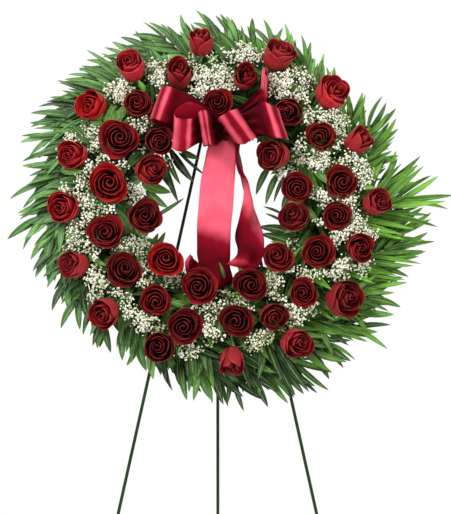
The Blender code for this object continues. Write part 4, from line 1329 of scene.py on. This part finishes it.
def ribbon_grid(rows, settings, steps, ripple, pleats, seed):
    """A ribbon and its painted light and shade through given rows: it gathers into pleats where
    they are short.
    """
    rng = np.random.default_rng(seed)
    values = smooth_rows([(*left, *right, *np.broadcast_to(light, 2))
                          for left, right, light in rows], steps)
    left, right = values[:, None, 0:3], values[:, None, 3:6]
    u = np.linspace(0, 1, RIBBON_COLUMNS)[None, :, None]
    grid = left * (1 - u) + right * u
    normal = grid_normals(grid)
    width = np.linalg.norm(values[:, 3:6] - values[:, 0:3], axis=1)
    full = np.minimum(width / settings.ribbon_width, 1)[:, None, None]
    depth = settings.ribbon_width * np.sqrt(1 - full ** 2) / (2 * math.pi * pleats) * 1.3
    depth = depth * ease(0.95, 0.60, full)
    along = np.linspace(0, 1, steps)[:, None, None]
    wave = np.sin(2 * math.pi * pleats * u + rng.uniform(0, 3)) * depth
    wave = wave + ripple * np.sin(9 * along + 4 * u + rng.uniform(0, 6))
    shade = values[:, 6, None] * (1 - u[..., 0]) + values[:, 7, None] * u[..., 0]
    return grid + wave * normal, np.clip(shade, 0, 1)


def loop_rows(rows):
    """The rows of a bow loop, with its two roots gathered in the knot."""
    # Both roots lie in painted deep shade.
    root = [((KNOT[0], KNOT[1] + 0.020, KNOT[2] + lift), (KNOT[0], KNOT[1] - 0.022, KNOT[2] + lift),
             0.03) for lift in (-0.004, 0.008)]
    return [root[0], *rows, root[1]]


def satin_material(settings):
    """Polyester satin ribbon: floats lie along its length, so it shines in soft bands, partly from
    its gloss and partly as painted light and shade read from each row's shade.
    """
    material, tree, shader = new_material("satin ribbon", {
        "Roughness": 0.46, "Specular IOR Level": 0.24, "Anisotropic": 0.4,
        "Specular Tint": (*linear("#ff3050"), 1),
        "Sheen Weight": 0.03, "Sheen Roughness": 0.35, "Sheen Tint": (*linear("#ff9aa8"), 1),
    })
    shade = add_node(tree, "ShaderNodeAttribute", {"attribute_name": "shade"}).outputs["Fac"]
    flat = add_node(tree, "ShaderNodeUVMap", {"uv_map": "cloth"}).outputs["UV"]
    # Painted light and shade: the shade shifts softly every 30 mm, as if the ribbon lay a little
    # slack.
    place = add_node(tree, "ShaderNodeTexCoord").outputs["Object"]
    painted_light_patches = add_node(tree, "ShaderNodeTexNoise", {}, {
        "Vector": place, "Scale": 1 / (30 * MM), "Detail": 1.0})
    sway = add_node(tree, "ShaderNodeMapRange", {}, {
        "Value": painted_light_patches.outputs["Fac"], "From Min": 0.35, "From Max": 0.65,
        "To Min": -0.06, "To Max": 0.04})
    shade = add_node(tree, "ShaderNodeMath", {"operation": "ADD"},
                     {0: shade, 1: sway.outputs["Result"]}).outputs[0]
    # Painted shade and highlight: shade 0 gives the dark satin, 0.5 the satin's own red, 1 the
    # light satin.
    dark = add_node(tree, "ShaderNodeMapRange", {}, {
        "Value": shade, "From Min": 0.0, "From Max": 0.5})
    low = add_node(tree, "ShaderNodeMix", {"data_type": "RGBA"}, {
        0: dark.outputs["Result"], 6: (*settings.satin_dark, 1), 7: (*settings.satin, 1)})
    light = add_node(tree, "ShaderNodeMapRange", {}, {
        "Value": shade, "From Min": 0.5, "From Max": 1.0})
    painted_light_colour = add_node(tree, "ShaderNodeMix", {"data_type": "RGBA"}, {
        0: light.outputs["Result"], 6: low.outputs[2], 7: (*settings.satin_light, 1)})
    # Warp threads 0.2 mm apart are too fine to show, so they are drawn 0.8 mm apart.
    stretch = add_node(tree, "ShaderNodeMapping", {}, {
        "Vector": flat, "Scale": (1 / (0.8 * MM), 1 / (30 * MM), 1)})
    threads = add_node(tree, "ShaderNodeTexNoise", {}, {
        "Vector": stretch.outputs["Vector"], "Scale": 1.0, "Detail": 1.0})
    value = add_node(tree, "ShaderNodeMapRange", {}, {
        "Value": threads.outputs["Fac"], "From Min": 0.3, "From Max": 0.7,
        "To Min": 0.94, "To Max": 1.06})
    colour = add_node(tree, "ShaderNodeHueSaturation", {}, {
        "Color": painted_light_colour.outputs[2], "Value": value.outputs["Result"]})
    tree.links.new(colour.outputs["Color"], shader.inputs["Base Color"])
    bump = add_node(tree, "ShaderNodeBump", {}, {
        "Height": threads.outputs["Fac"], "Strength": 0.12, "Distance": 0.15 * MM})
    tree.links.new(bump.outputs["Normal"], shader.inputs["Normal"])
    return material


# ---- easel, tray, foam and pick ----

def enamel_material(settings):
    """Baked enamel on steel wire: a smooth, slightly uneven dark green coat."""
    material, tree, shader = new_material("green enamel on wire", {
        "Roughness": 0.5, "Specular IOR Level": 0.1})
    place = add_node(tree, "ShaderNodeTexCoord").outputs["Object"]
    runs = add_node(tree, "ShaderNodeTexNoise", {}, {
        "Vector": place, "Scale": 1 / (25 * MM), "Detail": 3.0})
    colour = add_node(tree, "ShaderNodeMix", {"data_type": "RGBA"}, {
        0: runs.outputs["Fac"], 6: (*settings.enamel_dark, 1), 7: (*settings.enamel, 1)})
    tree.links.new(colour.outputs[2], shader.inputs["Base Color"])
    # Orange peel about 2 mm across.
    peel = add_node(tree, "ShaderNodeTexNoise", {}, {
        "Vector": place, "Scale": 1 / (2 * MM), "Detail": 1.0})
    bump = add_node(tree, "ShaderNodeBump", {}, {
        "Height": peel.outputs["Fac"], "Strength": 0.15, "Distance": 0.2 * MM})
    tree.links.new(bump.outputs["Normal"], shader.inputs["Normal"])
    return material


def tray_material(settings):
    """Moulded polypropylene: smooth, half gloss, with faint flow marks."""
    material, tree, shader = new_material("moulded polypropylene", {"Roughness": 0.38})
    place = add_node(tree, "ShaderNodeTexCoord").outputs["Object"]
    flow = add_node(tree, "ShaderNodeTexNoise", {}, {
        "Vector": place, "Scale": 1 / (30 * MM), "Detail": 2.0, "Distortion": 1.5})
    colour = add_node(tree, "ShaderNodeMix", {"data_type": "RGBA"}, {
        0: flow.outputs["Fac"], 6: (*settings.tray_dark, 1), 7: (*settings.tray, 1)})
    tree.links.new(colour.outputs[2], shader.inputs["Base Color"])
    grain = add_node(tree, "ShaderNodeTexNoise", {}, {
        "Vector": place, "Scale": 1 / (1.2 * MM), "Detail": 1.0})
    bump = add_node(tree, "ShaderNodeBump", {}, {
        "Height": grain.outputs["Fac"], "Strength": 0.1, "Distance": 0.1 * MM})
    tree.links.new(bump.outputs["Normal"], shader.inputs["Normal"])
    return material


def foam_material(settings):
    """Wet phenolic floral foam: matt, full of cells about 0.4 mm across, drawn at 1 mm."""
    material, tree, shader = new_material("wet floral foam", {
        "Roughness": 0.85, "Specular IOR Level": 0.2})
    place = add_node(tree, "ShaderNodeTexCoord").outputs["Object"]
    cells = add_node(tree, "ShaderNodeTexVoronoi", {}, {
        "Vector": place, "Scale": 1 / (1 * MM)})
    wet = add_node(tree, "ShaderNodeTexNoise", {}, {
        "Vector": place, "Scale": 1 / (35 * MM), "Detail": 2.0})
    colour = add_node(tree, "ShaderNodeMix", {"data_type": "RGBA"}, {
        0: wet.outputs["Fac"], 6: (*settings.foam_dark, 1), 7: (*settings.foam, 1)})
    tree.links.new(colour.outputs[2], shader.inputs["Base Color"])
    bump = add_node(tree, "ShaderNodeBump", {}, {
        "Height": cells.outputs["Distance"], "Strength": 0.6, "Distance": 0.4 * MM})
    tree.links.new(bump.outputs["Normal"], shader.inputs["Normal"])
    return material


def pick_material():
    """Split birch pick, stained green: long grain about 0.6 mm wide."""
    material, tree, shader = new_material("stained birch", {"Roughness": 0.6})
    place = add_node(tree, "ShaderNodeTexCoord").outputs["Object"]
    stretch = add_node(tree, "ShaderNodeMapping", {}, {
        "Vector": place, "Scale": (1 / (0.6 * MM), 1 / (8 * MM), 1 / (0.6 * MM))})
    grain = add_node(tree, "ShaderNodeTexNoise", {}, {
        "Vector": stretch.outputs["Vector"], "Scale": 1.0, "Detail": 2.0})
    colour = add_node(tree, "ShaderNodeMix", {"data_type": "RGBA"}, {
        0: grain.outputs["Fac"], 6: (*linear("#5a7a3c"), 1), 7: (*linear("#8fa362"), 1)})
    tree.links.new(colour.outputs[2], shader.inputs["Base Color"])
    return material


# ---- settings ----

def colour_property(name, description, code):
    """A colour setting whose default is an sRGB hex value."""
    return bpy.props.FloatVectorProperty(
        name=name, description=description, subtype="COLOR", size=3, min=0, max=1,
        default=linear(code))


def length_property(name, description, default, low, high):
    """A length setting in metres."""
    return bpy.props.FloatProperty(
        name=name, description=description, default=default, min=low, max=high,
        subtype="DISTANCE", unit="LENGTH")


class WREATH_PG_roses(bpy.types.PropertyGroup):
    petals: bpy.props.IntProperty(
        name="Petals", description="Petals on an open rose", default=16, min=14, max=40)
    petal_thickness: length_property(
        "Petal thickness", "Thickness of one petal", 0.0005, 0.0002, 0.002)
    # Heart is painted shade at the petals' foot, and Rim a painted highlight on their rims.
    heart: colour_property("Heart", "Shaded foot of the petals", "#40070e")
    petal: colour_property("Petal", "Face of the petals", "#7e1015")
    rim: colour_property("Rim", "Rims of the petals", "#991c21")
    back: colour_property("Back", "Backs of the outer petals", "#a02028")
    bright: colour_property("Bright rose", "Face of the brighter roses", "#c81a18")
    sepal: colour_property("Sepal", "Sepals and stems", "#6f8f45")
    stem: colour_property("Stem", "Shaded green of sepals and stems", "#37602c")


class WREATH_PG_palm(bpy.types.PropertyGroup):
    leaflet_length: bpy.props.FloatProperty(
        name="Leaflet length", description="Length of the leaflets as a share of the usual",
        default=1.0, min=0.4, max=2, subtype="FACTOR")
    leaflet_width: length_property(
        "Leaflet width", "Width across a leaflet", 0.0145, 0.005, 0.04)
    unevenness: bpy.props.FloatProperty(
        name="Unevenness", description="How much copies of a leaflet differ in size",
        default=0.05, min=0, max=0.5, subtype="FACTOR")
    seed: bpy.props.IntProperty(name="Seed", description="Random seed of the leaves", default=5)
    fillers: bpy.props.IntProperty(
        name="Filler leaves", description="Dark leaves between the flowers", default=520, min=0,
        max=1500)
    dark_leaf: colour_property("Dark leaf", "Leaves in the shade", "#112c04")
    light_leaf: colour_property("Light leaf", "Leaves in the light", "#70ac2e")
    cool_leaf: colour_property("Cool leaf", "Leaves in the light that are bluer", "#72a65a")
    rib: colour_property("Rib", "Midribs", "#9cc67a")
    stalk: colour_property("Stalk", "Stalks of the fronds", "#c2d8ac")


class WREATH_PG_breath(bpy.types.PropertyGroup):
    sprigs: bpy.props.IntProperty(
        name="Sprigs", description="Heads of baby's breath", default=570, min=10, max=1500)
    floret: length_property("Floret", "Width of one floret", 0.0046, 0.002, 0.012)
    seed: bpy.props.IntProperty(name="Seed", description="Random seed of the sprigs", default=11)
    white: colour_property("White", "Florets", "#f5f4ec")
    cream: colour_property("Cream", "Florets that are older", "#e4e0c6")
    # Young is painted shade: the colour of florets deep in a spray.
    young: colour_property("Young", "Florets deep in a spray", "#c2c898")
    calyx: colour_property("Calyx", "Foot of a floret", "#a9ba7c")
    twig: colour_property("Twig", "Twigs", "#7f9c5c")
    twig_dark: colour_property("Dark twig", "Twigs in the shade", "#4d6b38")


class WREATH_PG_ribbon(bpy.types.PropertyGroup):
    ribbon_width: length_property("Width", "Width of the ribbon", 0.068, 0.01, 0.12)
    ribbon_thickness: length_property(
        "Thickness", "Thickness of the ribbon", 0.0005, 0.0002, 0.003)
    satin: colour_property("Satin", "The ribbon", "#780c1c")
    # Dark satin is painted shade, and Light satin a painted highlight.
    satin_dark: colour_property("Dark satin", "The ribbon inside its loops", "#2a0308")
    satin_light: colour_property("Light satin", "The ribbon where its floats face out", "#ef6276")


class WREATH_PG_easel(bpy.types.PropertyGroup):
    enamel: colour_property("Enamel", "Wire of the easel", "#1c3c0c")
    enamel_dark: colour_property("Dark enamel", "Thicker coat", "#102806")
    tray: colour_property("Tray", "Plastic tray", "#12301a")
    tray_dark: colour_property("Dark tray", "Flow marks in the tray", "#0d2413")
    foam: colour_property("Foam", "Foam ring", "#1d3c1e")
    foam_dark: colour_property("Wet foam", "Foam that holds more water", "#0f2612")


class WREATH_PG_stage(bpy.types.PropertyGroup):
    floor: colour_property("Floor", "The plain pale floor", "#f2f2f2")
    floor_radius: length_property("Floor radius", "Radius of the round floor", 4.0, 1, 30)
    key: bpy.props.FloatProperty(
        name="Key light", description="Power of the key softbox in watts", default=105, min=0,
        max=1000, unit="POWER")
    fill: bpy.props.FloatProperty(
        name="Fill light", description="Power of the fill softbox in watts", default=48, min=0,
        max=1000, unit="POWER")


# ---- operators ----

class WREATH_OT_roses(bpy.types.Operator):
    """Make every rose over its turned solid"""
    bl_idname = "wreath.roses"
    bl_label = "Roses"

    def execute(self, context):
        settings = context.scene.wreath_roses
        materials = [rose_petal_material(settings), green_stem_material(
            "rose stem and sepal", settings.sepal, settings.stem, 0.5)]
        for number, name in enumerate(rose_names(), 1):
            rose = rose_piece(measure_rose(name), settings, materials, 100 + number)
            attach(rose, "front_frame")
            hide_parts(name)
        return {"FINISHED"}


class WREATH_OT_palm(bpy.types.Operator):
    """Make the palm fronds round the ring"""
    bl_idname = "wreath.palm"
    bl_label = "Palm fronds"

    def execute(self, context):
        settings = context.scene.wreath_palm
        materials = [palm_leaf_material(settings), green_stem_material(
            "palm stalk", settings.stalk, settings.dark_leaf, 0.45)]
        shapes = [leaflet_mesh("leaflet curved left", -SICKLE),
                  leaflet_mesh("leaflet curved right", SICKLE)]
        trees = [scatter_tree(), twig_tree()]
        for number, (name, (first, last)) in enumerate(PALM_SPRAYS.items()):
            rng = np.random.default_rng(settings.seed + number)
            foliage = Foliage()
            for place, frond in enumerate(FRONDS):
                clock, reach, heading, longest = frond
                if (clock - first) % 360 >= (last - first) % 360:
                    continue
                add_frond(foliage, frond, 0, rng, settings)
                # Two fronds in three have another under them, and every one at the bottom,
                # but none where light shows between the leaflets.
                airy = any(low < clock < high for low, high in AIRY_CLOCKS)
                bottom = BOTTOM_CLOCKS[0] < clock < BOTTOM_CLOCKS[1]
                if (place % 3 or bottom) and not airy:
                    under = (clock + UNDER_TURN, reach * UNDER_REACH,
                             heading + rng.uniform(*UNDER_HEADING), longest * UNDER_LENGTH)
                    add_frond(foliage, under, 1, rng, settings)
            spray = foliage.grow(name + "_leaves", shapes, trees, materials, settings, number)
            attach(spray, "front_frame")
            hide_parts(name)
        rng = np.random.default_rng(settings.seed + 10)
        foliage = Foliage()
        add_filler(foliage, 0, 359.99, settings.fillers, rng)
        add_placed_leaves(foliage, INNER_LEAVES, INNER_HEIGHT, INNER_RISE, rng)
        add_placed_leaves(foliage, LIGHT_LEAVES, LIGHT_HEIGHT, LIGHT_RISE, rng)
        for root, tip, pairs in FERN_SPRIGS:
            fern_sprig(foliage, root, tip, pairs, rng)
        filler = foliage.grow("filler_leaves", shapes, trees, materials, settings, 9)
        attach(filler, "front_frame")
        for shape in shapes:
            bpy.data.objects.remove(shape)
        return {"FINISHED"}


class WREATH_OT_breath(bpy.types.Operator):
    """Make the baby's breath between the roses"""
    bl_idname = "wreath.breath"
    bl_label = "Baby's breath"

    def execute(self, context):
        settings = context.scene.wreath_breath
        places, aims, tone, points, edges, thick = sprigs(measured_blooms(), settings)
        shape = floret_mesh("floret shape")
        ways = aims / np.linalg.norm(aims, axis=1, keepdims=True)
        sideways = np.cross(ways, (0.31, 0.52, 0.79))
        base = points_mesh("florets", places,
                           {"aim": sideways, "up": ways, "size": np.ones((len(places), 3))},
                           {"tone": np.clip(tone, 0, 1)})
        mesh = grown("babys_breath_florets", base, scatter_tree(), {
            "Shape": shape, "Size": settings.floret, "Unevenness": 0.22,
            "Seed": settings.seed, "Material": floret_material(settings)})
        florets = joined("babys_breath_florets", [mesh])
        bpy.data.objects.remove(shape)
        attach(florets, "front_frame")
        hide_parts("babys_breath")
        twigs = points_mesh("twigs", points, {}, {"thick": thick}, edges)
        mesh = grown("babys_breath_twigs", twigs, twig_tree(), {
            "Sides": 3, "Radius": 1.0, "Material": green_stem_material(
                "baby's breath twig", settings.twig, settings.twig_dark, 0.6)})
        stalks = joined("babys_breath_twigs", [mesh])
        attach(stalks, "front_frame")
        return {"FINISHED"}


class WREATH_OT_bow(bpy.types.Operator):
    """Make the satin bow and its two tails"""
    bl_idname = "wreath.bow"
    bl_label = "Bow and tails"

    def execute(self, context):
        settings = context.scene.wreath_ribbon
        satin = [satin_material(settings)]
        loops = [ribbon_grid(loop_rows(rows), settings, LOOP_STEPS, LOOP_RIPPLE, LOOP_PLEATS,
                             number) for number, rows in enumerate(LOOPS.values())]
        grids, shades = zip(*loops)
        bow, length = ribbon_from_grids("bow_ribbon", grids, settings, satin, shades)
        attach(bow, "front_frame")
        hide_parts("bow_loops")
        for number, (side, rows) in enumerate(TAILS.items()):
            grid, shade = ribbon_grid(rows, settings, TAIL_STEPS, TAIL_RIPPLE, TAIL_PLEATS,
                                      20 + number)
            tail, length = ribbon_from_grids(side + "_tail_ribbon", [grid], settings, satin,
                                             [shade])
            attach(tail, "front_frame")
            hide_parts("ribbon_tail_" + side)
        return {"FINISHED"}


class WREATH_OT_easel(bpy.types.Operator):
    """Give the easel, tray, foam and pick their finishes"""
    bl_idname = "wreath.easel"
    bl_label = "Easel and base"

    def execute(self, context):
        settings = context.scene.wreath_easel
        enamel = enamel_material(settings)
        finishes = {
            "left_front_leg": enamel, "right_front_leg": enamel, "rear_leg": enamel,
            "upper_crossbar": enamel, "lower_crossbar": enamel, "wreath_hook": enamel,
            "ring_tray": tray_material(settings), "foam_ring": foam_material(settings),
            "bow_pick": pick_material(),
        }
        for name, material in finishes.items():
            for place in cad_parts[name].material_slots:
                place.material = material
        return {"FINISHED"}


# The camera looks level at the target through a long lens.
TARGET = (0.003, -0.1, 1.018)
LENS, LONG_SIDE = 200.0, 36.0            # millimetres
VIEW_HEIGHT = 1.028                      # metres that it takes in at the target


class WREATH_OT_stage(bpy.types.Operator):
    """Set the floor, the soft light and the camera"""
    bl_idname = "wreath.stage"
    bl_label = "Stage"

    def execute(self, context):
        settings = context.scene.wreath_stage
        scene = context.scene
        scene.view_settings.view_transform = "Standard"
        sheet = bpy.data.meshes.new("floor")
        work = bmesh.new()
        bmesh.ops.create_circle(work, cap_ends=True, segments=96, radius=settings.floor_radius)
        work.to_mesh(sheet)
        work.free()
        floor = new_object("floor", sheet)
        pale, tree, shader = new_material("plain pale floor", {
            "Base Color": (*settings.floor, 1), "Roughness": 0.9, "Specular IOR Level": 0.1})
        # The floor fades into the white studio before its edge.
        place = add_node(tree, "ShaderNodeTexCoord").outputs["Object"]
        away = add_node(tree, "ShaderNodeVectorMath", {"operation": "LENGTH"}, {0: place})
        fade = add_node(tree, "ShaderNodeMapRange", {"interpolation_type": "SMOOTHSTEP"}, {
            "Value": away.outputs["Value"], "From Min": 1.0,
            "From Max": settings.floor_radius * 0.9})
        clear = add_node(tree, "ShaderNodeBsdfTransparent")
        mixed = add_node(tree, "ShaderNodeMixShader", {}, {
            0: fade.outputs["Result"], 1: shader.outputs["BSDF"], 2: clear.outputs["BSDF"]})
        tree.links.new(mixed.outputs["Shader"], tree.nodes["Material Output"].inputs["Surface"])
        sheet.materials.append(pale)

        # The white studio lights the wreath less than it shows behind it.
        world = bpy.data.worlds.new("studio")
        scene.world = world
        world.use_nodes = True
        tree = world.node_tree
        back = tree.nodes["Background"]
        seen = add_node(tree, "ShaderNodeLightPath").outputs["Is Camera Ray"]
        power = add_node(tree, "ShaderNodeMapRange", {}, {
            "Value": seen, "To Min": 0.62, "To Max": 1.0})
        back.inputs["Color"].default_value = (1, 1, 1, 1)
        tree.links.new(power.outputs["Result"], back.inputs["Strength"])

        target = Vector(TARGET)
        for name, place, power, size in (
            ("key", (-1.6, -2.6, 2.9), settings.key, 1.5),
            ("fill", (2.4, -2.4, 1.6), settings.fill, 1.8),
            ("rim", (0.6, 1.8, 2.6), settings.fill, 1.4),
        ):
            light = bpy.data.lights.new(name, "AREA")
            light.energy = power
            light.size = size
            lamp = new_object(name, light)
            lamp.location = place
            lamp.rotation_euler = (target - Vector(place)).to_track_quat("-Z", "Y").to_euler()

        camera = bpy.data.cameras.new("camera")
        camera.lens = LENS
        camera.sensor_width = LONG_SIDE
        eye = new_object("camera", camera)
        eye.location = target + Vector((0, -VIEW_HEIGHT * LENS / LONG_SIDE, 0))
        eye.rotation_euler = (math.pi / 2, 0, 0)
        scene.camera = eye
        return {"FINISHED"}


class WREATH_PT_panel(bpy.types.Panel):
    """The wreath's pieces and their settings"""
    bl_idname = "WREATH_PT_panel"
    bl_label = "Wreath"
    bl_space_type = "VIEW_3D"
    bl_region_type = "UI"
    bl_category = "Wreath"

    def draw(self, context):
        for operator, group in STEPS:
            self.layout.operator(operator.bl_idname)
            for name in group.__annotations__:
                self.layout.prop(getattr(context.scene, setting_name(group)), name)


STEPS = (
    (WREATH_OT_easel, WREATH_PG_easel),
    (WREATH_OT_roses, WREATH_PG_roses),
    (WREATH_OT_palm, WREATH_PG_palm),
    (WREATH_OT_breath, WREATH_PG_breath),
    (WREATH_OT_bow, WREATH_PG_ribbon),
    (WREATH_OT_stage, WREATH_PG_stage),
)


def setting_name(group):
    """The scene's property that holds a group of settings."""
    return "wreath_" + group.__name__.rsplit("_", 1)[1]


def register():
    """Registers each operator with its settings, and the panel."""
    for operator, group in STEPS:
        bpy.utils.register_class(group)
        bpy.utils.register_class(operator)
        setattr(bpy.types.Scene, setting_name(group), bpy.props.PointerProperty(type=group))
    bpy.utils.register_class(WREATH_PT_panel)


def unregister():
    """Takes back what register did."""
    bpy.utils.unregister_class(WREATH_PT_panel)
    for operator, group in reversed(STEPS):
        delattr(bpy.types.Scene, setting_name(group))
        bpy.utils.unregister_class(operator)
        bpy.utils.unregister_class(group)


def main():
    """Dresses the wreath."""
    register()
    bpy.ops.wreath.easel()
    bpy.ops.wreath.roses()
    bpy.ops.wreath.palm()
    bpy.ops.wreath.breath()
    bpy.ops.wreath.bow()
    bpy.ops.wreath.stage()


if __name__ == "__main__":
    main()
